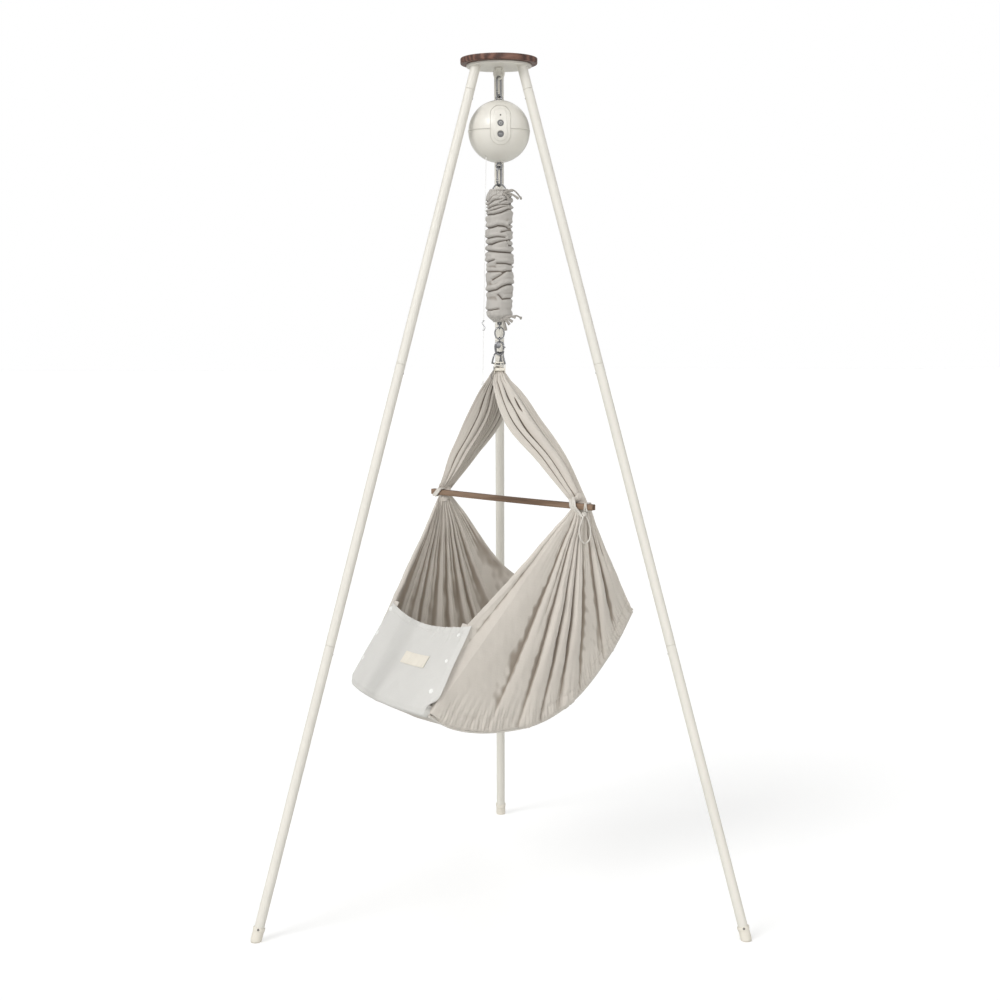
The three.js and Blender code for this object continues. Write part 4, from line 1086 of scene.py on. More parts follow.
# Creases of the cover's front: each is (side, height) points, side from -1 to 1 across, then depth and width in mm
FRONT_CREASES = (
    (((-0.60, 1.5700), (-0.10, 1.5745), (0.35, 1.5735), (0.72, 1.5690)), 5.0, 3.0),
    (((-0.77, 1.5470), (-0.20, 1.5495), (0.45, 1.5480)), 4.4, 2.6),
    (((0.20, 1.5600), (0.62, 1.5640)), 3.4, 2.4),
    (((-0.62, 1.5330), (0.10, 1.5395), (0.70, 1.5430)), 3.8, 2.6),
    (((0.60, 1.5400), (0.72, 1.5300)), 3.0, 2.2),
    (((-0.85, 1.5180), (-0.1, 1.5150), (0.75, 1.5140)), 5.0, 3.0),
    (((-0.95, 1.4925), (-0.40, 1.4975)), 4.0, 2.6),
    (((-0.15, 1.4900), (0.50, 1.4895), (0.95, 1.4865)), 4.0, 2.6),
    (((-0.70, 1.4710), (0.20, 1.4705), (0.60, 1.4725)), 3.0, 2.8),
    (((-0.55, 1.4530), (0.05, 1.4620), (0.45, 1.4690)), 3.4, 3.0),
    (((-0.90, 1.4262), (-0.25, 1.4300), (0.15, 1.4370), (0.60, 1.4420)), 5.4, 3.2),
    (((-0.10, 1.4190), (0.25, 1.4085), (0.65, 1.4100)), 3.4, 2.6),
    (((-0.60, 1.3840), (-0.05, 1.3865)), 3.0, 2.6),
    (((-1.0, 1.6000), (-0.45, 1.6000), (0.10, 1.6040), (0.75, 1.6125)), 5.0, 2.8),
    (((-0.95, 1.6060), (-0.30, 1.6110), (0.25, 1.6165), (0.90, 1.6200)), 3.6, 2.4),
    (((-0.85, 1.6140), (-0.25, 1.6200), (0.35, 1.6225), (0.95, 1.6235)), 4.0, 2.2),
    (((-0.90, 1.6210), (-0.35, 1.6320), (0.25, 1.6345)), 3.8, 2.2),
    (((0.05, 1.6260), (0.50, 1.6330), (0.90, 1.6400)), 3.6, 2.0),
    (((-0.80, 1.6300), (-0.45, 1.6420), (0.05, 1.6455)), 3.2, 2.0),
    (((0.00, 1.6390), (0.45, 1.6440), (0.75, 1.6490)), 3.0, 2.0),
)


def crease_lines():
    """Every crease as angle and height points, with its depth and width in metres."""
    lines = []
    for points, depth, width in FRONT_CREASES:
        path = [(math.asin(side) - math.pi / 2, z) for side, z in points]
        # a crease that comes near the cover's edge runs on round it
        if points[0][0] < -0.55:
            path.insert(0, (-math.pi - 0.7, path[0][1]))
        if points[-1][0] > 0.55:
            path.append((0.7, path[-1][1]))
        lines.append((path, depth / 1000, width / 1000))
    draw = random.Random(41)
    z = COVER_LOW + 0.022
    while z < COVER_TOP - 0.024:
        for turn in (0.55, 2.0):
            a = turn + draw.uniform(-0.35, 0.35)
            reach = draw.uniform(0.5, 1.0)
            slope = draw.uniform(-0.009, 0.009)
            path = [(a - reach, z - slope), (a, z + draw.uniform(-0.003, 0.003)), (a + reach, z + slope)]
            lines.append((path, draw.uniform(0.0034, 0.0050), draw.uniform(0.0024, 0.0032)))
        z += draw.uniform(0.019, 0.030)
    return lines


# strength of the painted shade in the spring cover's creases
COVER_SHADE = 4.2


def spring_cover():
    """A tube of cotton ruched over the spring, drawn in at both ends."""
    rows, columns = 380, 220
    z = np.linspace(COVER_LOW, COVER_TOP, rows + 1)[:, None]
    angle = (np.arange(columns + 1) / columns * math.tau)[None, :]
    height = z + 0 * angle
    turn = angle + 0 * z
    away = np.zeros(height.shape)
    for path, depth, width in crease_lines():
        nearest = np.full(height.shape, 9.0)
        signed = np.zeros(height.shape)
        for (a0, z0), (a1, z1) in zip(path, path[1:]):
            around = (turn - a0 + math.pi) % math.tau - math.pi
            dx, dz = around * COVER_R, height - z0
            vx, vz = (a1 - a0) * COVER_R, z1 - z0
            share = np.clip((dx * vx + dz * vz) / (vx * vx + vz * vz), 0, 1)
            d = np.hypot(dx - share * vx, dz - share * vz)
            signed = np.where(d < nearest, np.sign(dx * vz * -1 + dz * vx) * d, signed)
            nearest = np.minimum(nearest, d)
        away -= depth * np.exp(-(nearest / width) ** 2)
        away += depth * 0.45 * np.exp(-((nearest - width * 2.1) / (width * 1.5)) ** 2) * (0.75 + 0.25 * np.sign(signed))
    around_x = np.cos(turn) * COVER_R
    around_y = np.sin(turn) * COVER_R
    soft = waves(around_x, height, 5, 7, 0.060, 0.0010, 1.3) + waves(around_y, height, 6, 7, 0.052, 0.0008, 1.3)
    end_top = np.clip((COVER_TOP - height) / 0.022, 0, 1)
    end_low = np.clip((height - COVER_LOW) / 0.018, 0, 1)
    body = COVER_R * 0.955 + np.clip(away + soft, -0.0080, 0.0038) * np.minimum(end_top, end_low) ** 0.5
    drawn_top = 0.0205 + 0.0014 * np.abs(np.sin(9 * turn + 0.6 * np.sin(3 * turn))) ** 0.6
    drawn_low = 0.0140 + 0.0014 * np.abs(np.sin(8 * turn + 0.8 * np.sin(2 * turn))) ** 0.6
    r = drawn_top + (body - drawn_top) * smooth_step(end_top) ** 0.7
    r = drawn_low + (r - drawn_low) * smooth_step(end_low) ** 0.7
    pleat = 0.0016 * np.abs(np.sin(9 * turn + 0.6 * np.sin(3 * turn))) ** 0.6
    r += pleat * (1 - end_top) * end_top * 3
    r += 0.0016 * np.abs(np.sin(8 * turn + 0.8 * np.sin(2 * turn))) ** 0.6 * (1 - end_low) * end_low * 3
    sway = 0.0008 * np.sin(height * 75 + 0.7)
    grid = np.stack([r * np.cos(turn) + sway, r * np.sin(turn), height], axis=-1)
    uv = np.stack([turn * COVER_R, height * 1.5], axis=-1)
    # the cloth folds in over each end and down inside, as a casing for its drawstring
    top = [grid[-1:]]
    low = [grid[:1]]
    for k in range(1, 7):
        t = k / 6
        rr = drawn_top[:1] - 0.0045 * t
        zz = COVER_TOP + 0.0028 * math.sin(math.pi * min(t, 1)) - 0.006 * t * t
        top.append(np.stack([rr * np.cos(turn[:1]), rr * np.sin(turn[:1]), zz + 0 * rr], axis=-1))
        rr = drawn_low[:1] - 0.0035 * t
        zz = COVER_LOW - 0.0018 * math.sin(math.pi * t) + 0.004 * t * t
        low.insert(0, np.stack([rr * np.cos(turn[:1]), rr * np.sin(turn[:1]), zz + 0 * rr], axis=-1))
    grid = np.concatenate(low[:-1] + [grid] + top[1:])
    before = np.stack([turn[:6] * COVER_R, (COVER_LOW - 0.004 + 0 * turn[:6]) * 1.5], axis=-1)
    after = np.stack([turn[:6] * COVER_R, (COVER_TOP + 0.004 + 0 * turn[:6]) * 1.5], axis=-1)
    uv = np.concatenate([before, uv, after])
    grid[:, -1] = grid[:, 0]
    cover = sheet_mesh("ruched_spring_cover", grid, uv, 0.0012, AXIS, shade=COVER_SHADE)
    close = bmesh.new()
    close.from_mesh(cover.data)
    bmesh.ops.remove_doubles(close, verts=close.verts, dist=1e-6)
    close.to_mesh(cover.data)
    close.free()
    cover.data.materials.append(MATERIALS["cover_cloth"])
    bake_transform(cover)
    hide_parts("spring_cover")

    for name, body, r, z, turns, seed in (("upper", "lift", 0.0222, 1.6512, 2.2, 4), ("lower", "spring_end", 0.0158, 1.3645, 1.6, 9)):
        draw = random.Random(seed)
        steps = int(turns * 40)
        path = []
        for i in range(steps):
            a = i / 40 * math.tau - 1.2
            rr = r + 0.0004 * math.sin(3 * a) + draw.uniform(-0.0001, 0.0001)
            path.append(Vector((rr * math.cos(a), rr * math.sin(a), z + 0.0032 * i / steps * turns - 0.003)))
        wrap = mesh_piece(f"{name}_drawstring_wrap", *moved(swept(path, 0.0017, 10, flat=0.8), AXIS))
        stand_for(wrap, body, "grey_cloth", MATERIALS["tape"])


def tail(name, body, points, width, thick, material="tape"):
    """A flat strip of tape or cloth hanging along the points."""
    path = smooth_path(points, 30)
    flat = mesh_piece(name, *moved(swept(path, lambda t: width / 2 * (1 + 0.12 * math.sin(9 * t)), 12, flat=thick / width), AXIS))
    stand_for(flat, body, "grey_cloth", MATERIALS[material])


def cover_tails():
    """The loose ends of cloth and cord at the cover's top and bottom."""
    tail("top_tail_one", "lift", [(0.010, -0.022, 1.6475), (0.017, -0.026, 1.6515), (0.024, -0.027, 1.6530),
                                  (0.031, -0.026, 1.6535)], 0.0064, 0.0058)
    tail("top_tail_two", "lift", [(0.016, -0.024, 1.6480), (0.026, -0.027, 1.6460), (0.036, -0.027, 1.6405),
                                  (0.044, -0.026, 1.6345)], 0.0056, 0.0048)
    tail("top_tail_three", "lift", [(0.008, -0.026, 1.6465), (0.014, -0.030, 1.6435), (0.019, -0.031, 1.6380),
                                    (0.022, -0.031, 1.6320)], 0.0050, 0.0044)
    tail("low_tail_one", "spring_end", [(0.008, -0.020, 1.3640), (0.018, -0.026, 1.3690), (0.028, -0.028, 1.3695),
                                        (0.037, -0.028, 1.3665)], 0.0058, 0.0050)
    tail("low_tail_two", "spring_end", [(0.007, -0.019, 1.3640), (0.015, -0.026, 1.3645), (0.023, -0.029, 1.3615),
                                        (0.030, -0.029, 1.3570)], 0.0062, 0.0052)
    tail("low_tail_three", "spring_end", [(0.006, -0.019, 1.3640), (0.012, -0.025, 1.3625), (0.018, -0.028, 1.3570),
                                          (0.023, -0.028, 1.3505)], 0.0062, 0.0050)
    tail("low_tail_strip", "spring_end", [(0.004, -0.018, 1.3640), (0.009, -0.023, 1.3580), (0.0125, -0.025, 1.3480),
                                          (0.0140, -0.025, 1.3370)], 0.0090, 0.0050)


def coil():
    """The extension spring inside the cover, with a flat first and last turn."""
    r, wire, turns = 0.0165, 0.0018, 12
    low, high = 1.382 + wire, 1.624 - wire
    path = []
    for i in range(turns * 26 + 1):
        t = i / (turns * 26)
        a = t * turns * math.tau
        rise = float(smooth_step(t / 0.02)) * 0.01 + t * 0.98 + float(smooth_step((t - 0.98) / 0.02)) * 0.01
        path.append(Vector((r * math.cos(a), r * math.sin(a), low + (high - low) * rise)))
    piece = mesh_piece("coil_spring_wire", *moved(swept(path, wire, 10), AXIS))
    piece.data.materials.append(MATERIALS["steel"])
    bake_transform(piece)
    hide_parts("coil_spring")


def middle_of(node):
    low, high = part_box(node)
    return (low + high) / 2, (high - low) / 2


def hardware():
    """The rings, caps, swivel, link and snap hook between the spring's two ends and the cradle."""
    centre, half = middle_of("spring_ring")
    ring = swept(ring_path(half.z - 0.0016, centre.z, "y", 56), 0.0016, 16, closed=True)
    ring = mesh_piece("spring_split_ring", *moved(ring, AXIS))
    stand_for(ring, "lift", "steel", MATERIALS["steel"], "spring_ring")

    eye_z = 1.6373
    cap = together(
        swept(ring_path(0.005, eye_z, "x", 36), 0.0018, 14, closed=True),
        lathe(rounded([(0, 1.626), (0.015, 1.626), (0.015, 1.6300), (0.006, 1.6325), (0.0035, eye_z - 0.0045),
                       (0, eye_z - 0.0045)], 0.0008), 48))
    cap = mesh_piece("spring_upper_cap", *moved(cap, AXIS))
    stand_for(cap, "lift", "steel", MATERIALS["steel"], "spring_top_cap")

    foot = lathe([(0.0033, 1.359), (0.0056, 1.359), (0.006, 1.3594), (0.006, 1.3734), (0.0066, 1.374), (0.0146, 1.374),
                  (0.015, 1.3744), (0.015, 1.3786), (0.0146, 1.379), (0.0033, 1.379)], 48)
    foot = mesh_piece("spring_lower_cap", *moved(foot, AXIS))
    stand_for(foot, "spring_end", "steel", MATERIALS["steel"], "spring_foot")

    swivel = together(
        lathe(rounded([(0, 1.3505), (0.003, 1.3505), (0.003, 1.3793), (0.0055, 1.3793), (0.0055, 1.383), (0, 1.383)],
                      0.0005), 36),
        lathe(rounded([(0, 1.3498), (0.0048, 1.3498), (0.0052, 1.3512), (0.0052, 1.3562), (0.003, 1.3572), (0, 1.3572)],
                      0.0006), 36),
        swept(ring_path(0.005, 1.346, "x", 36), 0.002, 14, closed=True))
    swivel = mesh_piece("swivel_eye", *moved(swivel, AXIS))
    stand_for(swivel, "turning_link", "steel", MATERIALS["steel"], "swivel")

    centre, half = middle_of("oval_link")
    link = swept(ring_path(half.x - 0.0015, centre.z, "y", 56, half.z - 0.0016), 0.0016, 16, closed=True)
    link = mesh_piece("oval_chain_link", *moved(link, AXIS))
    stand_for(link, "turning_link", "steel", MATERIALS["steel"], "oval_link")

    top, bottom, w = 1.3110, 1.2820, 0.009
    path = smooth_path([(w, 0, top - 0.008), (w * 0.75, 0, top - 0.0025), (0, 0, top), (-w * 0.75, 0, top - 0.0025),
                        (-w, 0, top - w), (-w, 0, bottom + w), (-w * 0.7, 0, bottom + w * 0.25), (0, 0, bottom),
                        (w * 0.7, 0, bottom + w * 0.25), (w, 0, bottom + w)], 90)
    plate = together(
        swept(path, lambda t: 0.0024 + 0.0006 * math.exp(-((t - 0.42) / 0.12) ** 2), 18),
        swept(ring_path(0.0045, 1.3170, "x", 40), 0.0019, 14, closed=True),
        moved(lathe(rounded([(0, -0.0019), (0.0062, -0.0019), (0.0062, 0.0019), (0, 0.0019)], 0.0009), 48),
              Matrix.Translation((-0.0030, 0, top - 0.0080)) @ Matrix.Rotation(math.pi / 2, 4, "X")
              @ Matrix.Diagonal((0.95, 1.12, 1, 1))))
    hook = mesh_piece("cradle_snap_hook", *moved(plate, AXIS))
    stand_for(hook, "turning_link", "steel", MATERIALS["steel"], "snap_hook")
    low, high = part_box("snap_hook_gate")
    gate = together(
        lathe(rounded([(0, low.z), (0.002, low.z), (0.002, high.z), (0, high.z)], 0.0005), 28),
        moved(lathe(rounded([(0, 0), (0.0013, 0), (0.0013, 0.0026), (0.0019, 0.0030), (0.0019, 0.0042), (0, 0.0044)],
                            0.0004), 24),
              Matrix.Translation((0, 0, (low.z + high.z) / 2 + 0.001)) @ Matrix.Rotation(math.pi / 2, 4, "Y")))
    gate = mesh_piece("snap_hook_trigger_gate", *moved(gate, AXIS @ Matrix.Translation((w, 0, 0))))
    stand_for(gate, "snap_gate", "steel", MATERIALS["steel"], "snap_hook_gate")


spring_cover()
cover_tails()
coil()
hardware()


# ---- Where the cradle's cloth is gathered ----

APEX_TOP = 1.2494
APEX_LOW = 1.222
RING_Z = 1.2739
RING_R = 0.0135


def d_ring(name, side):
    """A D-shaped ring, leaning outwards so that its straight bar lies in the webbing."""
    bow = [(0, RING_R * math.cos(math.radians(a)), RING_R * math.sin(math.radians(a))) for a in range(0, 181, 20)]
    bar = [(0, RING_R * y, -RING_R) for y in (-1, -0.8, 0.8, 1)]
    tilt, yaw = (-13, -38) if side < 0 else (-13, 14)
    lean = Matrix.Rotation(math.radians(side * tilt), 4, "Y") @ Matrix.Translation((0, 0, -RING_R))
    place = AXIS @ Matrix.Translation((side * 0.0030, 0, RING_Z + RING_R)) @ lean
    place = place @ Matrix.Rotation(math.radians(yaw), 4, "Z")
    ring = mesh_piece(name, *moved(swept(smooth_path(bow + bar, 70, closed=True), 0.0018, 14, closed=True), place))
    stand_for(ring, "cradle", "steel", MATERIALS["steel"], "cradle_ring_left" if side < 0 else "cradle_ring_right")


def web_loop():
    """The band of cream webbing that carries the cloth, folded over the rings' bars."""
    half, low, inside = 0.0120, APEX_TOP - 0.010, RING_Z - RING_R + 0.0021
    path = [(-half, low), (-half - 0.0002, inside - 0.005), (-half + 0.0035, inside + 0.0006),
            (0, inside + 0.0016), (half - 0.0035, inside + 0.0006), (half + 0.0002, inside - 0.005), (half, low)]
    line = smooth_path([(x, 0, z) for x, z in path], 70)
    y = np.linspace(-0.011, 0.011, 25)
    grid = np.array([[(p.x, v, p.z + 0.0002 * math.sin(v * 900)) for v in y] for p in line])
    edge = np.abs(y)[None, :] > 0.0098
    uv = np.stack([np.broadcast_to(y[None, :], grid.shape[:2]),
                   np.broadcast_to(np.linspace(0, 0.06, len(line))[:, None], grid.shape[:2])], axis=-1)
    band = sheet_mesh("cream_web_loop", grid, uv, 0.0017 + 0.0004 * edge, AXIS, "webbing")
    stand_for(band, "cradle", "cream_webbing", MATERIALS["webbing"], "web_loop")
    rows = []
    for x in (-half, half):
        for v in (-0.0085, 0.0085):
            rows.append([(x + (0.001 if x > 0 else -0.001), v, low + 0.001), (x + (0.001 if x > 0 else -0.001), v, inside - 0.006)])
    for i, row in enumerate(rows):
        seam = stitches(f"web_seam_{i}", row, (1 if row[0][0] > 0 else -1, 0, 0), "light_tape", matrix=AXIS)
        stand_for(seam, "cradle", "greige_cloth", MATERIALS["light_tape"])
    front = mesh_piece("web_front_fold", *moved(swept(smooth_path(
        [(-0.0112, -0.0112, APEX_TOP - 0.0008), (0, -0.0128, APEX_TOP - 0.0012), (0.0112, -0.0112, APEX_TOP - 0.0008)], 24),
        0.0040, 14, flat=0.62), AXIS))
    stand_for(front, "cradle", "cream_webbing", MATERIALS["webbing"])


def apex():
    """The two slings' cloth folded together over the webbing."""
    around, rows = 200, 46
    a = (np.arange(around + 1) / around * math.tau)[None, :]
    t = np.linspace(0, 1, rows + 1)[:, None]
    z = APEX_TOP - 0.001 + (APEX_LOW - 0.012 - APEX_TOP) * t
    wide = control(t, (0, 0.5, 1), (0.0090, 0.0105, 0.0090))
    deep = control(t, (0, 0.5, 1), (0.0080, 0.0095, 0.0090))
    fold = 0.0022 * np.abs(np.sin(7 * a + 1.8 * np.sin(2 * a + 0.4) + 1.1 * t)) ** 0.7
    fold += 0.0009 * np.abs(np.sin(17 * a + 2.1 * np.sin(3 * a) - 1.4 * t)) ** 0.8
    k = 1 + (fold - 0.0015) / 0.018 * (0.55 + 0.45 * t)
    k *= 1 - 0.45 * smooth_step((0.14 - t) / 0.14) - 0.8 * smooth_step((t - 0.7) / 0.3)
    grid = np.stack([wide * k * np.cos(a), deep * k * np.sin(a), z + 0 * a], axis=-1)
    uv = np.stack([a * 0.02 + 0 * t, z + 0 * a], axis=-1)
    wrap = sheet_mesh("apex_folded_cloth", grid, uv, 0.0022, CRADLE, "greige_cloth")
    stand_for(wrap, "cradle", "greige_cloth", MATERIALS["greige_cloth"], "apex_wrap")
    # small metal beads run off the left ring onto the cloth
    beads = []
    draw = random.Random(12)
    for i in range(9):
        t = i / 8
        p = Vector((-0.0135 - 0.006 * t + 0.0016 * math.sin(7 * t), -0.0155 - 0.004 * t, APEX_TOP + 0.004 - 0.026 * t))
        bead = lathe(rounded([(0, -0.0014), (0.0015, -0.0010), (0.0015, 0.0010), (0, 0.0014)], 0.0007), 14)
        turn = Matrix.Rotation(draw.uniform(0, 3), 4, "X") @ Matrix.Rotation(draw.uniform(0, 3), 4, "Y")
        beads.append(moved(bead, Matrix.Translation(p) @ turn))
    lacing = mesh_piece("apex_lacing_beads", *moved(together(*beads), AXIS))
    stand_for(lacing, "cradle", "steel", MATERIALS["steel"])


# The slings: valleys across from the foot's side (0) to the head's side (1), and each ridge's height in mm
SLING_STOPS = (-0.09, 0.0, 0.33, 0.66, 1.0)
SLING_SHAPES = {
    "left": {
        "side": -1, "middle": (0, 0.005, 0.0245, 0.0125, 0), "half": (0.0066, 0.020, 0.0390, 0.0260, 0.0115),
        "valleys": (0, 0.20, 0.38, 0.47, 0.55, 0.63, 0.74, 0.88, 1),
        "ridges": ((1, 1, 2, 2, 2), (1, 3, 5, 5, 3), (2, 7, 12, 12, 4), (2, 7, 12, 12, 4), (2, 6, 11, 11, 4),
                   (2, 5, 9, 9, 4), (2, 5, 8, 8, 3), (2, 3, 5, 4, 2)),
    },
    "right": {
        "side": 1, "middle": (0, 0.002, -0.004, 0.009, 0.007), "half": (0.0066, 0.023, 0.047, 0.037, 0.0165),
        "valleys": (0, 0.16, 0.34, 0.68, 0.76, 0.85, 0.93, 1),
        "ridges": ((1, 3, 4, 4, 2), (2, 6, 9, 10, 4), (3, 9, 15, 16, 6), (3, 6, 10, 10, 4), (3, 6, 9, 9, 4),
                   (2, 4, 6, 6, 3), (2, 3, 5, 5, 3)),
    },
}


def past_bar(grid):
    """The cloth passes behind the bar: it bends round it where it is close to the bar's height."""
    over = np.array([-math.sin(math.radians(60)), math.cos(math.radians(60)), 0])
    near = np.exp(-((grid[..., 2] - BAR_CENTRE.z) / 0.017) ** 2)
    return grid + over * (0.0158 * near)[..., None]


def sling(name):
    """One side's cloth, pleated between the apex and the bar."""
    shape = SLING_SHAPES[name]
    side = shape["side"]
    rows, columns = 200, 260
    first = SLING_STOPS[0]
    t = np.linspace(first, 1, rows + 1)[:, None]
    u = np.linspace(0, 1, columns + 1)[None, :]
    top = np.array([side * 0.016, 0, APEX_LOW + 0.002])
    foot = np.array(gather_at(side, BAR_CENTRE.z + 0.004))
    centre = top + (foot - top) * np.clip(t, 0, 1)[..., None]
    rise = np.clip(-t / -first, 0, 1)
    centre = centre + rise[..., None] * np.array([-side * 0.0125, 0, APEX_TOP + 0.0035 - top[2]])
    offset = through(t, SLING_STOPS, shape["middle"])
    half = through(t, SLING_STOPS, shape["half"])
    down = foot - top
    down /= np.linalg.norm(down)
    out = np.cross([0, 1, 0], down)
    out /= np.linalg.norm(out)
    if out[0] * side < 0:
        out = -out
    ridges = [[h / 1000 for h in r] for r in shape["ridges"]]
    drift = u + 0.012 * np.sin(9 * t + 5 * u) * np.clip(u * (1 - u) * 8, 0, 1)
    ridge = pleats(drift, t, shape["valleys"], ridges, SLING_STOPS, 0.55)
    ridge += waves(u * 0.12, t * 0.34, 21 if side > 0 else 22, 8, 0.06, 0.0009, 0.4)
    ridge += 0.0006 * np.sin(70 * u + 7 * np.sin(5 * u) + 3 * t) * control(t, (0, 0.2, 0.8, 1), (1, 0.3, 0.3, 1))
    curl = -0.009 * (2 * u - 1) ** 2 * control(t, SLING_STOPS, (0.5, 0.8, 1, 1, 0.4))
    if name == "left":
        # the strip on the foot's side rolls outwards
        rolled = np.clip((0.36 - u) / 0.36, 0, 1) ** 1.6 * control(t, SLING_STOPS, (0, 0.3, 1, 1, 0.3))
        curl = curl * smooth_step(u / 0.5) + 0.020 * rolled
    else:
        # the folds open into soft, blown-up hollows just under the apex
        for at, where, deep, wide, tall in ((0.30, 0.14, 4.0, 0.05, 0.07), (0.47, 0.22, 4.5, 0.05, 0.08),
                                            (0.22, 0.24, 3.5, 0.06, 0.10), (0.33, 0.42, 4.0, 0.08, 0.12)):
            ridge -= deep / 1000 * np.exp(-((u - at) / wide) ** 2 - ((t - where) / tall) ** 2)
    # seen from inside, a fold stands out towards the middle of the cradle
    lift = (ridge - 0.004) * side + curl
    grid = centre + out * lift[..., None]
    grid = grid + np.array([0, 1, 0]) * (offset + half * (2 * u - 1))[..., None]
    grid = past_bar(grid)
    uv = np.stack([u * 0.34 + 0 * t, t * 0.36 + 0 * u], axis=-1)
    hem = np.maximum(smooth_step((0.035 - u) / 0.012), smooth_step((u - 0.965) / 0.012)) + 0 * t
    grid = np.swapaxes(grid, 0, 1)
    uv = np.swapaxes(uv, 0, 1)
    thick = 0.0016 + 0.0018 * hem.T
    piece = sheet_mesh(f"{name}_sling_cloth", grid, uv, thick, CRADLE, "greige_cloth", shade=SLING_SHADE[name],
                       front_share=0.4)
    stand_for(piece, "cradle", "greige_cloth", MATERIALS["greige_cloth"], f"sling_{name}")


# strength of the painted shade in the slings' and side panels' folds, and how dark it may get on a side panel
SLING_SHADE = {"left": 24.0, "right": 22.0}
FAN_SHADE = {"left": 5.2, "right": 8.6}
FAN_DARKEST = {"left": 0.46, "right": 0.52}
GATHER_LOOPS = {
    # along the bar from the gather's middle, width, slant, flatness
    "left": ((0.0170, 0.0110, -1.05, 0.30),),
    "right": ((0.0265, 0.0036, -0.20, 0.60), (0.0215, 0.0026, 0.15, 0.60)),
}


def gather(name, side):
    """The cloth drawn together behind the bar, and the tapes that hold it there."""
    along = Vector((math.cos(BAR_TURN), math.sin(BAR_TURN), 0))
    over = Vector((-math.sin(BAR_TURN), math.cos(BAR_TURN), 0))
    around, rows = 180, 90
    a = (np.arange(around + 1) / around * math.tau)[None, :]
    t = np.linspace(0, 1, rows + 1)[:, None]
    high, low = BAR_CENTRE.z + 0.030, BAR_CENTRE.z - 0.022
    z = high + (low - high) * t
    wide = control(t, (0, 0.3, 0.5, 0.7, 1), (0.006, 0.0120, 0.0150, 0.0130, 0.006))
    deep = control(t, (0, 0.3, 0.5, 0.7, 1), (0.0025, 0.0062, 0.0052, 0.0066, 0.0030))
    turned = math.pi / 2 - (math.pi / 2 - BAR_TURN) * np.exp(-((z - BAR_CENTRE.z) / 0.013) ** 2)
    fold = 0.0021 * np.abs(np.sin(7 * a + 2.5 * t * side + 1.2 * np.sin(2 * a))) ** 0.6
    fold += 0.0008 * np.abs(np.sin(17 * a - 3 * t * side)) ** 0.8
    k = 1 + (fold - 0.0014) / 0.011
    p, q = wide * k * np.cos(a), deep * k * np.sin(a)
    centre = np.array(gather_at(side, 0.0))
    grid = np.stack([centre[0] + p * np.cos(turned) - q * np.sin(turned),
                     centre[1] + p * np.sin(turned) + q * np.cos(turned), z + 0 * a], axis=-1)
    grid = past_bar(grid)
    uv = np.stack([a * 0.015 + 0 * t, z + 0 * a], axis=-1)
    grid = np.swapaxes(grid, 0, 1)
    uv = np.swapaxes(uv, 0, 1)
    # painted shade darkens the gathered folds
    bundle = sheet_mesh(f"{name}_gather_folds", grid, uv, 0.0016, CRADLE, "greige_cloth", shade=4.0)
    stand_for(bundle, "cradle", "greige_cloth", MATERIALS["greige_cloth"], f"gather_{name}")

    reach = BAR_THICKNESS / 2 + 0.0014
    for i, (place, width, slant, flat) in enumerate(GATHER_LOOPS[name]):
        thick = width / 2 * flat
        loop = []
        for k2 in range(64):
            b = k2 / 64 * math.tau
            n = max(abs(math.cos(b)), abs(math.sin(b))) ** 0.8
            p2, q2 = (reach + thick) * math.cos(b) / n, (reach + thick) * math.sin(b) / n
            spot = gather_at(side, BAR_CENTRE.z) + along * (side * place + side * slant * q2)
            loop.append(spot + over * p2 + Vector((0, 0, q2)))
        band = mesh_piece(f"{name}_bar_loop_{i}", *moved(band_along(loop, along, width, thick * 2), CRADLE))
        stand_for(band, "cradle", "greige_cloth", MATERIALS["light_tape"])
    if side > 0:
        # a band of the cloth twists down across the bar's front
        path = []
        for k2 in range(61):
            v = k2 / 60
            spot = gather_at(side, BAR_CENTRE.z + 0.020 - 0.044 * v)
            bulge = 0.0035 + 0.0085 * math.exp(-((v - 0.46) / 0.24) ** 2)
            path.append(spot + along * (-0.026 + 0.030 * v) - over * bulge)
        for k3, (dx, dy, r) in enumerate(((-0.0042, 0.0, 0.0038), (0.0032, -0.0012, 0.0036), (0.0090, 0.0014, 0.0026))):
            strand = [p3 + along * (dx + 0.0014 * math.sin(0.1 * m)) - over * dy for m, p3 in enumerate(path)]
            fold_piece = mesh_piece(f"right_twisted_fold_{k3}", *moved(swept(
                strand, lambda w, r=r: r * (1 - 0.35 * abs(2 * w - 1) ** 3), 16, flat=0.8), CRADLE))
            stand_for(fold_piece, "cradle", "greige_cloth", MATERIALS["light_tape"])
        knot_at = CRADLE @ (gather_at(1, BAR_CENTRE.z - 0.0165) + Vector((0.0135, 0.004, 0)))
        tie = knot("bow_knot", knot_at, 0.0066, "light_tape", seed=2)
        stand_for(tie, "cradle", "greige_cloth", MATERIALS["light_tape"])


def band_along(loop, across, width, thick):
    """A closed band of tape along a loop; across is the direction of its width."""
    n = len(loop)
    points = []
    for i in range(n):
        tangent = (loop[(i + 1) % n] - loop[i - 1]).normalized()
        side_way = (across - tangent * across.dot(tangent)).normalized()
        outward = tangent.cross(side_way)
        for p, q in ((-1, -0.5), (-0.9, -1), (0.9, -1), (1, -0.5), (1, 0.5), (0.9, 1), (-0.9, 1), (-1, 0.5)):
            points.append(loop[i] + side_way * (p * width / 2) + outward * (q * thick / 2))
    faces = []
    for i in range(n):
        here, after = i * 8, (i + 1) % n * 8
        faces += [(here + j, here + (j + 1) % 8, after + (j + 1) % 8, after + j) for j in range(8)]
    return points, faces


d_ring("left_cradle_d_ring", -1)
d_ring("right_cradle_d_ring", 1)
web_loop()
apex()
for its_name, its_side in (("left", -1), ("right", 1)):
    sling(its_name)
    gather(its_name, its_side)


# ---- Spreader bar ----

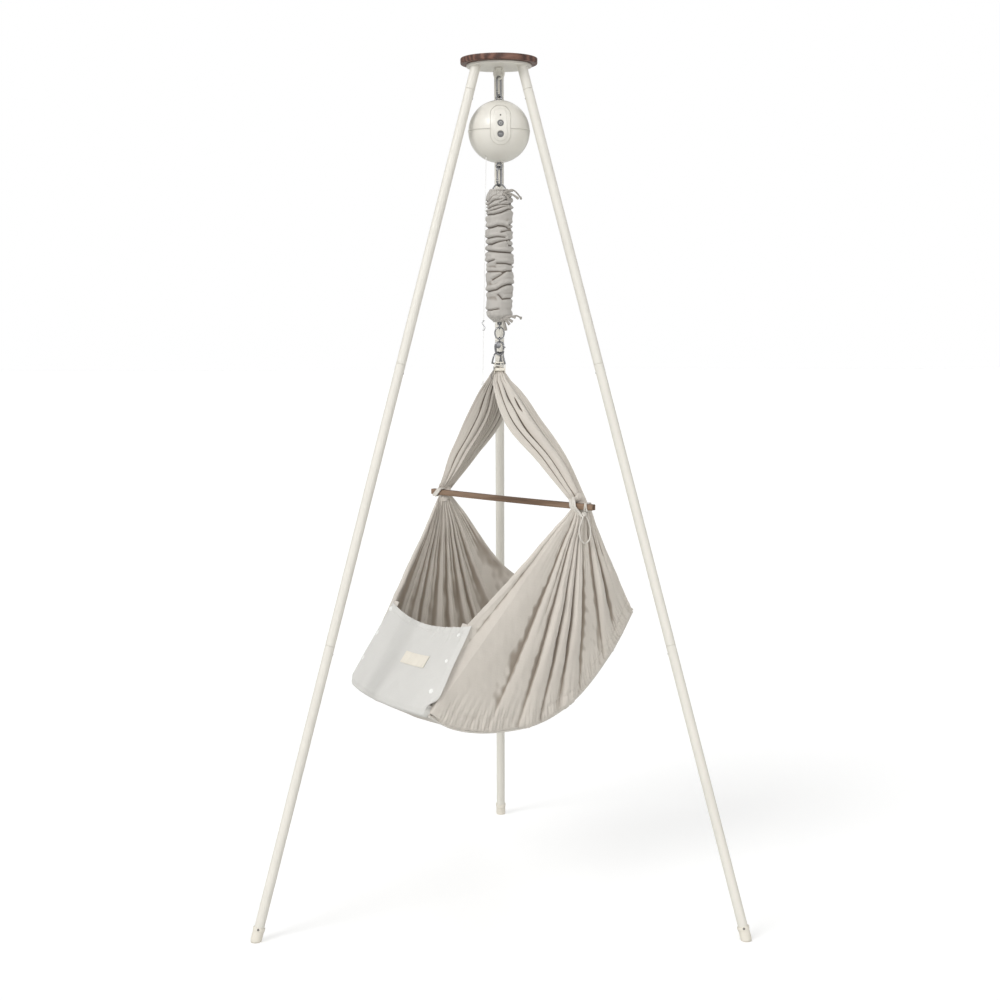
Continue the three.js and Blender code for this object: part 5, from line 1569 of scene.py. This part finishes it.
def spreader_bar():
    """A planed wooden bar with its edges eased and its ends rounded over."""
    half, h = BAR_LENGTH / 2, BAR_THICKNESS / 2
    shape = bmesh.new()
    bmesh.ops.create_cube(shape, size=2)
    for v in shape.verts:
        v.co = Vector((v.co.x * half, v.co.y * h, v.co.z * h))
    bmesh.ops.bevel(shape, geom=shape.edges[:], offset=0.0013, segments=3, profile=0.6, affect="EDGES")
    cuts = [i / 40 * 2 * half - half for i in range(1, 40)]
    for x in cuts:
        everything = shape.verts[:] + shape.edges[:] + shape.faces[:]
        bmesh.ops.bisect_plane(shape, geom=everything, plane_co=(x, 0, 0), plane_no=(1, 0, 0))
    for v in shape.verts:
        # a light bow, as the cloth's pull gives it
        v.co.z += -0.0012 * (1 - (v.co.x / half) ** 2)
    data = bpy.data.meshes.new("spreader_bar_wood")
    shape.to_mesh(data)
    shape.free()
    data.transform(CRADLE @ Matrix.Translation(BAR_CENTRE) @ Matrix.Rotation(BAR_TURN, 4, "Z"))
    data.shade_smooth()
    data.set_sharp_from_angle(angle=math.radians(35))
    piece = bpy.data.objects.new("spreader_bar_wood", data)
    bpy.context.scene.collection.objects.link(piece)
    stand_for(piece, "cradle", "walnut", MATERIALS["bar_wood"], "spreader_bar")


spreader_bar()


# ---- Side panels, base, mattress and foot cover ----

def edge_points(steps):
    """The side panels' lower edge: up to down along the foot corner, then along the base. Returns (y, z) pairs."""
    line = smooth_path([(y, z, 0) for y, z in BASE_LINE], 400)
    corner = [Vector((-0.189, 0.693, 0)).lerp(line[0], i / 100) for i in range(100)]
    whole = corner + line
    lengths = np.concatenate([[0], np.cumsum([(b - a).length for a, b in zip(whole, whole[1:])])])
    where = np.linspace(0, lengths[-1], steps + 1)
    y = np.interp(where, lengths, [p.x for p in whole])
    z = np.interp(where, lengths, [p.y for p in whole])
    return y, z, where, lengths[100]


# Each fan: angles of the valleys from straight down, towards the head, and each ridge's height in mm near the
# gather, halfway and near the base
FAN_STOPS = (0.08, 0.5, 0.93)
FANS = {
    "right": {
        "side": 1,
        "valleys": (-49.1, -44.6, -26.5, -18.5, -12.4, -7.1, -0.4, 10.4, 17.7, 31.4),
        "ridges": ((3, 6, 3), (3, 6, 3), (7, 9, 4), (10, 17, 7), (10, 17, 7), (11, 20, 8), (6, 6, 3), (9, 16, 6),
                   (6, 10, 4)),
        "between": ((-22.5, 0.9), (-15.2, 1.0), (-9.6, 1.0), (-4.0, 1.2), (14.2, 1.0), (24.0, 1.0)),
        "hollow": 0.0, "mouth": 0.040, "shift": 0.004, "calm": 0.85,
    },
    "left": {
        "side": -1,
        "valleys": (-33.4, -29.4, -22.5, -16.2, -11.5, -2.5, 3.9, 12.1, 16.6, 27.2, 47.8),
        "ridges": ((2, 4, 3), (5, 9, 6), (6, 11, 8), (6, 11, 8), (7, 14, 9), (7, 13, 9), (7, 14, 9), (6, 11, 8),
                   (7, 12, 8), (5, 8, 5)),
        "between": ((-19.3, 0.8), (-7.2, 0.9), (0.6, 0.9), (8.0, 0.9), (21.5, 0.9)),
        "hollow": -8.5, "mouth": 0.020, "shift": 0.0, "calm": 0.0,
    },
}


def fan(name):
    """A side panel of the cradle, fanning out from the gather and drawn in again along the base."""
    shape = FANS[name]
    side = shape["side"]
    rows, columns, under = 520, 96, 10
    y, z, along, corner = edge_points(rows)
    g = np.array(gather_at(side, BAR_CENTRE.z - 0.0015)) + [0, shape["shift"], 0]
    edge_x = side * (SIDE_X - 0.018 * smooth_step(1 - along / (corner * 1.25)))
    angle = np.degrees(np.arctan2(y - g[1], g[2] - z))
    reach = np.hypot(y - g[1], g[2] - z)
    first = 0.012
    t = first + (1 - first) * (np.arange(columns + 1) / columns) ** 0.9
    roll = 0.010
    # the panel stops a little above the base's level, and rolls in under it
    on_edge = smooth_step((along - corner - 0.005) / 0.03)
    shorten = 1 - roll * (on_edge + 0.4 * (1 - on_edge)) / reach
    T = t[None, :]
    A = angle[:, None]
    across = (A - angle[0]) / (angle[-1] - angle[0])
    bent = A + shape["hollow"] * across ** 3 * 4 * T * (1 - T)
    R = (reach * shorten)[:, None] * T
    ridge = pleats(A + 0 * T, T + 0 * A, shape["valleys"], [[h / 1000 for h in r] for r in shape["ridges"]], FAN_STOPS, 0.62, -0.25 * side)
    # finer folds split from the broad ones near the gather, and fade out below
    for at, strength in shape["between"]:
        width = 0.9 + 0.5 * (1 - T)
        ridge -= 0.0042 * strength * np.exp(-((A - at) / width) ** 2) * control(T, (0.05, 0.3, 0.75), (0.6, 1, 0.1))
    fine = np.abs(np.sin(np.radians(A) * 58 + 1.7 * np.sin(np.radians(A) * 13)))
    smooth_part = 1 - shape["calm"] * (1 - smooth_step((A + 26) / 9))
    ridge += 0.0026 * smooth_part * (fine - 0.5) * control(T, (0.04, 0.20, 0.50), (1.0, 0.9, 0.0))
    # creases where the cloth hangs from the front hem
    Y = g[1] + R * np.sin(np.radians(bent)) + (1 - T) ** 1.5 * shape["mouth"] * (across - 0.5)
    Z = g[2] - R * np.cos(np.radians(bent))
    ridge += waves(Y, Z, 31 + side, 10, 0.075, 0.0011)
    ridge += waves(Y * 0.6 + Z * 0.8, Z * 0.5 - Y, 35 + side, 8, 0.030, 0.00035)
    # puckers along the gathered bottom seam
    left_of = (reach * shorten)[:, None] * (1 - T)
    on_base = smooth_step((along[:, None] - corner - 0.005) / 0.03)
    draw = random.Random(50 + side)
    wander = np.cumsum([draw.uniform(0.55, 1.45) for _ in range(rows + 1)])
    wander = wander / wander[-1] * along[-1]
    phase = wander[:, None] * math.tau / 0.0085
    band = np.exp(-(left_of / 0.017) ** 2) + 0.55 * np.exp(-((left_of - 0.030) / 0.016) ** 2)
    uneven = 0.65 + 0.35 * np.sin(wander[:, None] * 47 + 3)
    ridge += 0.0015 * np.sin(phase + 9 * left_of / 0.05) * band * on_base * uneven
    ridge += 0.0010 * np.sin(phase * 0.43 + 1.3) * np.exp(-(left_of / 0.055) ** 2) * on_base
    ridge -= 0.0022 * np.exp(-((left_of - 0.021) / 0.0022) ** 2) * on_base
    # flatten the folds at the gather, so that they lie side by side in the bundle
    ridge *= smooth_step(T / 0.10) * 0.6 + 0.4
    belly = 0.006 * np.sin(np.pi * T ** 1.3) * np.clip(np.sin(np.pi * across), 0, 1)
    X = g[0] + (edge_x[:, None] - g[0]) * T
    X = X + side * (belly + ridge - 0.005 * smooth_step(T / 0.2))
    grid = past_bar(np.stack([X, Y, Z], axis=-1))
    # roll the lower edge under; the foot's edge only turns in
    down_y = np.gradient(y)
    down_z = np.gradient(z)
    outward = np.stack([down_z, -down_y], axis=-1)
    outward /= np.linalg.norm(outward, axis=1, keepdims=True)
    toward = np.stack([y - g[1], z - g[2]], axis=-1)
    flip = np.sign((outward * toward).sum(axis=1, keepdims=True))
    outward = outward * flip
    kernel = np.hanning(41)
    kernel /= kernel.sum()
    padded = np.pad(outward, ((20, 20), (0, 0)), mode="edge")
    outward = np.stack([np.convolve(padded[:, k], kernel, mode="valid") for k in range(2)], axis=-1)
    outward /= np.linalg.norm(outward, axis=1, keepdims=True)
    last = grid[:, -1]
    last_ridge = ridge[:, -1]
    extra = []
    for k in range(1, under + 1):
        phi = k / under * math.pi / 2
        fade = 1 - k / under
        x = edge_x - side * (roll - roll * math.cos(phi)) + (last[:, 0] - edge_x) * fade
        off = (roll * math.sin(phi) + 0.6 * last_ridge * (1 - fade)) * np.squeeze(on_base)
        extra.append(np.stack([x, last[:, 1] + outward[:, 0] * off, last[:, 2] + outward[:, 1] * off], axis=-1))
    # and a narrow seam allowance under the base
    for k in range(1, 4):
        x = edge_x - side * (roll + 0.005 * k)
        off = (roll + 0.0006 + 0.4 * last_ridge * (1 - k / 4)) * np.squeeze(on_base)
        extra.append(np.stack([x, last[:, 1] + outward[:, 0] * off, last[:, 2] + outward[:, 1] * off], axis=-1))
    grid = np.concatenate([grid, np.stack(extra, axis=1)], axis=1)
    uv = np.stack([grid[..., 1] * 1.15, grid[..., 2] + np.linspace(0, 0.02, grid.shape[1])[None, :]], axis=-1)
    hem_front = smooth_step((0.012 - R * np.radians(A - angle[0])) / 0.002)
    hem_rear = smooth_step((0.012 - R * np.radians(angle[-1] - A)) / 0.002)
    hem = np.maximum(hem_front, hem_rear)
    thick = 0.0016 + 0.0014 * hem
    groove = np.exp(-((R * np.radians(A - angle[0]) - 0.0105) / 0.0007) ** 2)
    groove += np.exp(-((R * np.radians(angle[-1] - A) - 0.0105) / 0.0007) ** 2)
    thick = np.clip(thick - 0.0009 * groove, 0.0009, None)
    thick = np.concatenate([thick, np.full((rows + 1, grid.shape[1] - columns - 1), 0.0016)], axis=1)
    # painted shade in the panel's folds, weaker towards the base
    down_share = np.linspace(0, 1, grid.shape[1])[None, :]
    shade = FAN_SHADE[name] * (1 - 0.7 * smooth_step((down_share - 0.66) / 0.2))
    piece = sheet_mesh(f"{name}_side_panel_cloth", grid, uv, thick, CRADLE, "greige_cloth", shade=shade,
                       darkest=FAN_DARKEST[name], widths=((0, 9), (0, 26)), front_share=0.5)
    stand_for(piece, "cradle", "greige_cloth", MATERIALS["greige_cloth"], f"side_panel_{name}")


def base():
    """The cradle's floor of doubled cloth, with piping along its sides and soft folds at the head."""
    rows, columns = 190, 120
    line = smooth_path([(y, z, 0) for y, z in BASE_LINE], rows)
    y = np.array([p.x for p in line])
    z = np.array([p.y for p in line])
    slope = np.stack([np.gradient(y), np.gradient(z)], axis=-1)
    slope /= np.linalg.norm(slope, axis=1, keepdims=True)
    s = np.linspace(0, 1, rows + 1)[:, None]
    x = np.linspace(-0.1895, 0.1895, columns + 1)[None, :]
    span = np.clip(1 - (x / 0.19) ** 2, 0, 1)
    bulge = 0.028 * span * np.clip(1 - s / 0.35, 0, 1) ** 2
    sag = -0.004 * span
    side = np.exp(-((0.1895 - np.abs(x)) / 0.016) ** 2)
    pucker = 0.0011 * np.sin(s * 620 + 7 * np.sin(s * 31) + 20 * np.sign(x)) * side
    soft = waves(x, s * 0.65, 61, 9, 0.11, 0.0012) + waves(x, s * 0.65, 62, 7, 0.04, 0.0004)
    rise = (sag + pucker + soft * (0.3 + 0.7 * span))
    Y = y[:, None] - bulge - slope[:, 1:2] * rise
    Z = z[:, None] + slope[:, 0:1] * rise
    grid = np.stack([x + 0 * Y, Y, Z], axis=-1)
    uv = np.stack([x + 0 * Y, s * 0.66 + 0 * x], axis=-1)
    piece = sheet_mesh("fitted_base_cloth", grid, uv, 0.0030, CRADLE, "greige_cloth")
    stand_for(piece, "cradle", "greige_cloth", MATERIALS["greige_cloth"], "base_panel")
    for name, side in (("left", -1), ("right", 1)):
        cord = []
        for p, q in zip(line, slope):
            cord.append(Vector((side * 0.1915, p.x + q[1] * 0.0035, p.y - q[0] * 0.0035)))
        cord[0] += Vector((0, -0.001, 0))
        piping = mesh_piece(f"{name}_base_piping", *moved(swept(cord, 0.0022, 10), CRADLE))
        stand_for(piping, "cradle", "greige_cloth", MATERIALS["light_tape"])
    head = []
    for i in range(49):
        v = -0.19 + 0.38 * i / 48
        head.append(Vector((v, line[-1].x + 0.0010, line[-1].y + 0.0008 - 0.004 * (1 - (v / 0.19) ** 2))))
    hem = mesh_piece("head_end_hem", *moved(swept(head, 0.0046, 12, flat=0.6), CRADLE))
    stand_for(hem, "cradle", "greige_cloth", MATERIALS["greige_cloth"])


def mattress():
    """A thin fitted mattress that follows the base: crowned, rounded and slightly quilted by its own filling."""
    rows, columns = 60, 36
    lift = 0.0195
    thick = 0.022
    line = smooth_path([(y, z, 0) for y, z in BASE_LINE], 400)[28:385]
    step = (len(line) - 1) / rows
    chosen = [line[round(i * step)] for i in range(rows + 1)]
    y = np.array([p.x for p in chosen])
    z = np.array([p.y for p in chosen])
    slope = np.stack([np.gradient(y), np.gradient(z)], axis=-1)
    slope /= np.linalg.norm(slope, axis=1, keepdims=True)
    s = np.linspace(0, 1, rows + 1)[:, None]
    u = np.linspace(-1, 1, columns + 1)[None, :]
    ends = np.clip(np.minimum(s, 1 - s) / 0.06, 0, 1)
    half = 0.172 - 0.045 * (1 - np.sqrt(np.clip(1 - (1 - ends) ** 2, 0, 1)))
    x = half * u
    bulge = 0.024 * np.clip(1 - (x / 0.19) ** 2, 0, 1) * np.clip(1 - (0.07 + 0.89 * s) / 0.35, 0, 1) ** 2
    Y = y[:, None] - bulge - slope[:, 1:2] * lift
    Z = z[:, None] + slope[:, 0:1] * lift + 0 * x
    grid = np.stack([x + 0 * Y, Y, Z], axis=-1)
    edge = np.sqrt(np.clip(1 - np.abs(u) ** 5, 0.02, 1)) * np.sqrt(np.clip(1 - (1 - ends) ** 3, 0.05, 1))
    uv = np.stack([x + 0 * Y, s * 0.6 + 0 * x], axis=-1)
    pad = sheet_mesh("fitted_mattress", grid, uv, thick * edge, CRADLE, "ticking", 60)
    swell(pad, 0.006, 0.004)
    stand_for(pad, "cradle", "cream_webbing", MATERIALS["ticking"], "mattress")


def swell(pad, voxel, cap):
    """Blows the pad up a little as sewn cloth, no point moving further than cap."""
    scene = bpy.context.scene
    bpy.context.view_layer.objects.active = pad
    remesh = pad.modifiers.new("even", "REMESH")
    remesh.mode = "VOXEL"
    remesh.voxel_size = voxel
    remesh.use_smooth_shade = True
    bpy.context.view_layer.update()
    even = bpy.data.meshes.new_from_object(pad.evaluated_get(bpy.context.evaluated_depsgraph_get()))
    pad.modifiers.clear()
    pad.data = even
    before = np.empty(len(even.vertices) * 3)
    even.vertices.foreach_get("co", before)
    cloth = pad.modifiers.new("swell", "CLOTH")
    cloth.settings.quality = 5
    cloth.settings.use_pressure = True
    cloth.settings.uniform_pressure_force = 4.0
    cloth.settings.effector_weights.gravity = 0.0
    for frame_number in range(1, 21):
        scene.frame_set(frame_number)
    blown = bpy.data.meshes.new_from_object(pad.evaluated_get(bpy.context.evaluated_depsgraph_get()))
    pad.modifiers.clear()
    after = np.empty(len(blown.vertices) * 3)
    blown.vertices.foreach_get("co", after)
    scene.frame_set(1)
    before = before.reshape(-1, 3)
    move = after.reshape(-1, 3) - before
    length = np.linalg.norm(move, axis=1, keepdims=True)
    move *= np.minimum(1, cap / np.maximum(length, 1e-9))
    even.vertices.foreach_set("co", (before + move).reshape(-1))
    even.update()
    smooth = bmesh.new()
    smooth.from_mesh(even)
    bmesh.ops.smooth_vert(smooth, verts=smooth.verts, factor=0.5, use_axis_x=True, use_axis_y=True, use_axis_z=True)
    smooth.to_mesh(even)
    smooth.free()
    even.shade_smooth()


COVER_HALF_LOW = 0.2055
COVER_HALF_TOP = 0.1870
COVER_SAG = 0.022
COVER_BULGE = 0.028


def cover_point(u, s, lift=0.0):
    """A place on the foot cover: u from -1 to 1 across, s from 0 at the bottom to 1 at the hem."""
    half = COVER_HALF_LOW + (COVER_HALF_TOP - COVER_HALF_LOW) * s
    across = 1 - u ** 2
    # the bottom corners are rounded off
    corner = 0.040 * np.clip((np.abs(u) - 0.86) / 0.14, 0, 1) ** 2 * np.clip(1 - s / 0.24, 0, 1) ** 2
    x = half * u * (1 - corner * 0.6 / 0.2)
    y = -0.2985 + 0.1085 * s - COVER_BULGE * across * (1 - 0.5 * s) - lift * 0.87
    # and the side edges turn back over the side panels
    y = y + 0.009 * np.clip((np.abs(u) - 0.93) / 0.07, 0, 1) ** 2
    z = 0.513 + 0.181 * s - COVER_SAG * across * s + lift * 0.49 + corner * 0.55
    return np.stack(np.broadcast_arrays(x, y, z), axis=-1)


def foot_cover():
    """The white cloth that buttons over the foot end, with a shirred hem above and a blank label."""
    rows, columns = 170, 240
    s = np.linspace(0, 1, rows + 1)[:, None]
    u = np.linspace(-1, 1, columns + 1)[None, :]
    soft = waves(u * 0.2, s * 0.2, 71, 8, 0.16, 0.0013) + waves(u * 0.2, s * 0.2, 72, 6, 0.06, 0.0005)
    # puckers hang from the hem's elastic, longer to the right
    pucker = 0
    for at, deep, long in ((-0.86, 1.0, 0.10), (-0.64, 0.8, 0.08), (-0.30, 0.7, 0.07), (-0.05, 0.9, 0.08),
                           (0.22, 1.0, 0.10), (0.38, 1.9, 0.20), (0.55, 1.5, 0.15), (0.70, 2.0, 0.24), (0.86, 1.6, 0.16)):
        pucker = pucker - 0.0021 * deep * np.exp(-((u - at - 0.02 * (1 - s)) / 0.016) ** 2) * smooth_step((s - 1 + long) / long)
        pucker = pucker + 0.0014 * deep * np.exp(-((u - at - 0.035) / 0.022) ** 2) * smooth_step((s - 1 + long) / long)
    shirr = 0.0007 * np.sin(u * 105 + 5 * np.sin(u * 9)) * smooth_step((s - 0.93) / 0.03)
    under = smooth_step((0.055 - s) / 0.055)
    lift = soft * (0.4 + 0.6 * (1 - u ** 2)) + pucker + shirr - 0.004 * under
    grid = cover_point(u, s, lift)
    # the lower edge turns in under the mattress
    turn = []
    for k in range(8, 0, -1):
        phi = k / 8 * 1.45
        edge = grid[0].copy()
        edge[:, 1] += 0.014 * (1 - np.cos(phi)) * 1.0
        edge[:, 2] -= 0.010 * np.sin(phi)
        turn.append(edge)
    grid = np.concatenate([np.stack(turn), grid])
    v = np.concatenate([np.linspace(-0.014, -0.002, 8), s[:, 0] * 0.214])[:, None]
    uv = np.stack([u * 0.2 + 0 * v, v + 0 * u], axis=-1)
    near_side = (1 - np.abs(u)) * 0.19
    hem = np.maximum(smooth_step((0.011 - near_side) / 0.0015) + 0 * v, smooth_step((v - 0.2) / 0.0015) + 0 * u)
    groove = np.exp(-((near_side - 0.0105) / 0.0006) ** 2) + np.exp(-((v - 0.199) / 0.0006) ** 2)
    thick = np.clip(0.0018 + 0.0011 * hem - 0.0008 * groove, 0.0008, None)
    cloth = sheet_mesh("white_foot_cover", grid, uv, thick, CRADLE, "white_cloth")
    stand_for(cloth, "cradle", "white_cloth", MATERIALS["white_cloth"], "foot_cover")

    def row(points):
        return [Vector(cover_point(np.float64(a), np.float64(b), 0.0011)) for a, b in points]

    inset = 0.955
    for i, points in enumerate((
            [(-inset, k / 30) for k in range(1, 30)], [(inset, k / 30) for k in range(1, 30)],
            [(-0.95 + 1.9 * k / 50, 0.945) for k in range(51)])):
        seam = stitches(f"foot_cover_seam_{i}", row(points), (0, -0.87, 0.49), "mark", matrix=CRADLE)
        stand_for(seam, "cradle", "white_cloth", MATERIALS["white_cloth"])

    stud = lathe(rounded([(0, -0.0008), (0.0062, -0.0008), (0.0062, 0.0006), (0.0052, 0.0015), (0.0034, 0.0013),
                          (0.0024, 0.0007), (0, 0.0007)], 0.0006), 36)
    for i, (u0, s0) in enumerate(((-0.925, 0.93), (-0.925, 0.62), (-0.925, 0.30), (0.885, 0.25), (0.905, 0.60),
                                  (0.905, 0.90))):
        at = Vector(cover_point(np.float64(u0), np.float64(s0), 0.0010))
        du = Vector(cover_point(np.float64(u0 + 0.01), np.float64(s0), 0.001)) - at
        ds = Vector(cover_point(np.float64(u0), np.float64(s0 + 0.01), 0.001)) - at
        normal = du.cross(ds).normalized()
        if normal.y > 0:
            normal = -normal
        place = CRADLE @ Matrix.Translation(at) @ normal.to_track_quat("Z", "Y").to_matrix().to_4x4()
        size = 1.0 if i < 4 else 0.72
        piece = mesh_piece(f"foot_cover_stud_{i}", *moved(stud, place @ Matrix.Diagonal((size, size, 1, 1))))
        stand_for(piece, "cradle", "white_cloth", MATERIALS["stud"])

    rows2, columns2 = 24, 70
    lu = np.linspace(0.059 - 0.049, 0.059 + 0.049, columns2 + 1)[None, :] / 0.192
    ls = 0.56 + np.linspace(-0.0155, 0.0155, rows2 + 1)[:, None] / 0.2125
    rise = 0.0022 + 0.0003 * np.sin(lu * 60) + soft_at(lu, ls)
    label = sheet_mesh("blank_cloth_label", cover_point(lu, ls, rise),
                       np.stack([lu * 0.2 + 0 * ls, ls * 0.2 + 0 * lu], axis=-1), 0.0008, CRADLE, "label")
    stand_for(label, "cradle", "white_cloth", MATERIALS["label"])
    outline = []
    a0, a1 = lu[0, 0] + 0.006, lu[0, -1] - 0.006
    b0, b1 = ls[0, 0] + 0.006, ls[-1, 0] - 0.006
    for (p, q), (p2, q2) in (((a0, b0), (a1, b0)), ((a1, b0), (a1, b1)), ((a1, b1), (a0, b1)), ((a0, b1), (a0, b0))):
        outline += [(p + (p2 - p) * k / 14, q + (q2 - q) * k / 14) for k in range(14)]
    outline.append(outline[0])
    edge = [Vector(cover_point(np.float64(a), np.float64(b), 0.0027 + float(soft_at(a, b)))) for a, b in outline]
    seam = stitches("label_seam", edge, (0, -0.87, 0.49), "mark", 0.002, 0.001, 0.00022, CRADLE)
    stand_for(seam, "cradle", "white_cloth", MATERIALS["label"])


def soft_at(u, s):
    """The foot cover's own softness at a place, for the pieces sewn onto it."""
    return (waves(np.asarray(u) * 0.2, np.asarray(s) * 0.2, 71, 8, 0.16, 0.0013)
            + waves(np.asarray(u) * 0.2, np.asarray(s) * 0.2, 72, 6, 0.06, 0.0005)) * (0.4 + 0.6 * (1 - np.asarray(u) ** 2))


fan("left")
fan("right")
base()
mattress()
foot_cover()


# ---- Floor and lights ----

def studio():
    """A white floor without an edge, a soft key light from the front left, and a graded sky for the gloss."""
    size = 40
    plane = mesh_piece("studio_floor", [(-size, -size, 0), (size, -size, 0), (size, size, 0), (-size, size, 0)],
                       [(0, 1, 2, 3)])
    floor = Nodes("studio_floor_paper", metallic=0.0, specular_ior_level=0.1, emission_color=(1.0, 1.0, 1.0),
                  emission_strength=0.42)
    where = floor.place()
    floor.to("Base Color", floor.ramp(floor.noise(where, 1.5, 2), (0.3, 0.66), (0.7, 0.68)))
    floor.to("Roughness", floor.ramp(floor.noise(where, 4, 2), (0.3, 0.85), (0.7, 0.95)))
    # the paper is lit up for the camera, and throws less light back at the object
    dim = floor.add("ShaderNodeBsdfDiffuse", Color=(0.74, 0.74, 0.72, 1))
    choose = floor.add("ShaderNodeMixShader", {"Fac": floor.add("ShaderNodeLightPath").outputs["Is Camera Ray"]})
    floor.link(dim.outputs[0], choose.inputs[1])
    floor.link(floor.shader.outputs[0], choose.inputs[2])
    floor.link(choose.outputs[0], floor.tree.nodes["Material Output"].inputs["Surface"])
    plane.data.materials.append(floor.material)

    for name, energy, angle, towards in (("key", 1.45, 26, (0.74, 0.76, -0.66)), ("fill", 1.35, 60, (-0.34, 1.0, -0.06))):
        sun = bpy.data.lights.new(name, "SUN")
        sun.energy = energy
        sun.angle = math.radians(angle)
        lamp = bpy.data.objects.new(name, sun)
        bpy.context.scene.collection.objects.link(lamp)
        lamp.rotation_euler = Vector(towards).normalized().to_track_quat("-Z", "Y").to_euler()

    world = bpy.data.worlds.new("studio")
    bpy.context.scene.world = world
    world.use_nodes = True
    tree = world.node_tree
    tree.nodes.clear()

    def node(kind, **values):
        made = tree.nodes.new(kind)
        for key_name, value in values.items():
            if key_name in made.inputs:
                made.inputs[key_name].default_value = value
            else:
                setattr(made, key_name, value)
        return made

    out = node("ShaderNodeOutputWorld")
    choose = node("ShaderNodeMixShader")
    path = node("ShaderNodeLightPath")
    seen = node("ShaderNodeBackground", Color=(1, 1, 1, 1), Strength=1.0)
    lit = node("ShaderNodeBackground", Strength=1.0)
    where = node("ShaderNodeTexCoord")
    split = node("ShaderNodeSeparateXYZ")
    tree.links.new(where.outputs["Generated"], split.inputs["Vector"])
    rise = node("ShaderNodeMath", operation="MULTIPLY_ADD")
    rise.inputs[1].default_value = 0.5
    rise.inputs[2].default_value = 0.5
    tree.links.new(split.outputs["Z"], rise.inputs[0])
    sky = node("ShaderNodeValToRGB")
    stops = ((0.0, 0.40), (0.47, 0.20), (0.56, 0.34), (0.70, 0.60), (1.0, 0.85))
    for i, (at, grey) in enumerate(stops):
        stop = sky.color_ramp.elements[i] if i < 2 else sky.color_ramp.elements.new(at)
        stop.position = at
        stop.color = (grey, grey, grey * 0.99, 1)
    tree.links.new(rise.outputs[0], sky.inputs["Fac"])
    stripes = node("ShaderNodeTexWave", Scale=0.55, Distortion=0.0, bands_direction="X")
    tree.links.new(where.outputs["Generated"], stripes.inputs["Vector"])
    dark = node("ShaderNodeValToRGB")
    dark.color_ramp.elements[0].position = 0.40
    dark.color_ramp.elements[0].color = (0.03, 0.03, 0.03, 1)
    dark.color_ramp.elements[1].position = 0.56
    dark.color_ramp.elements[1].color = (1.7, 1.7, 1.7, 1)
    tree.links.new(stripes.outputs["Fac"], dark.inputs["Fac"])
    both = node("ShaderNodeMix", data_type="RGBA", blend_type="MULTIPLY")
    both.inputs["Factor"].default_value = 1.0
    tree.links.new(sky.outputs["Color"], both.inputs[6])
    tree.links.new(dark.outputs["Color"], both.inputs[7])
    tree.links.new(both.outputs[2], lit.inputs["Color"])
    tree.links.new(path.outputs["Is Camera Ray"], choose.inputs["Fac"])
    tree.links.new(lit.outputs[0], choose.inputs[1])
    tree.links.new(seen.outputs[0], choose.inputs[2])
    tree.links.new(choose.outputs[0], out.inputs["Surface"])

    view = bpy.context.scene.view_settings
    view.view_transform = "Standard"
    view.look = "None"
    view.exposure = 0.0


studio()
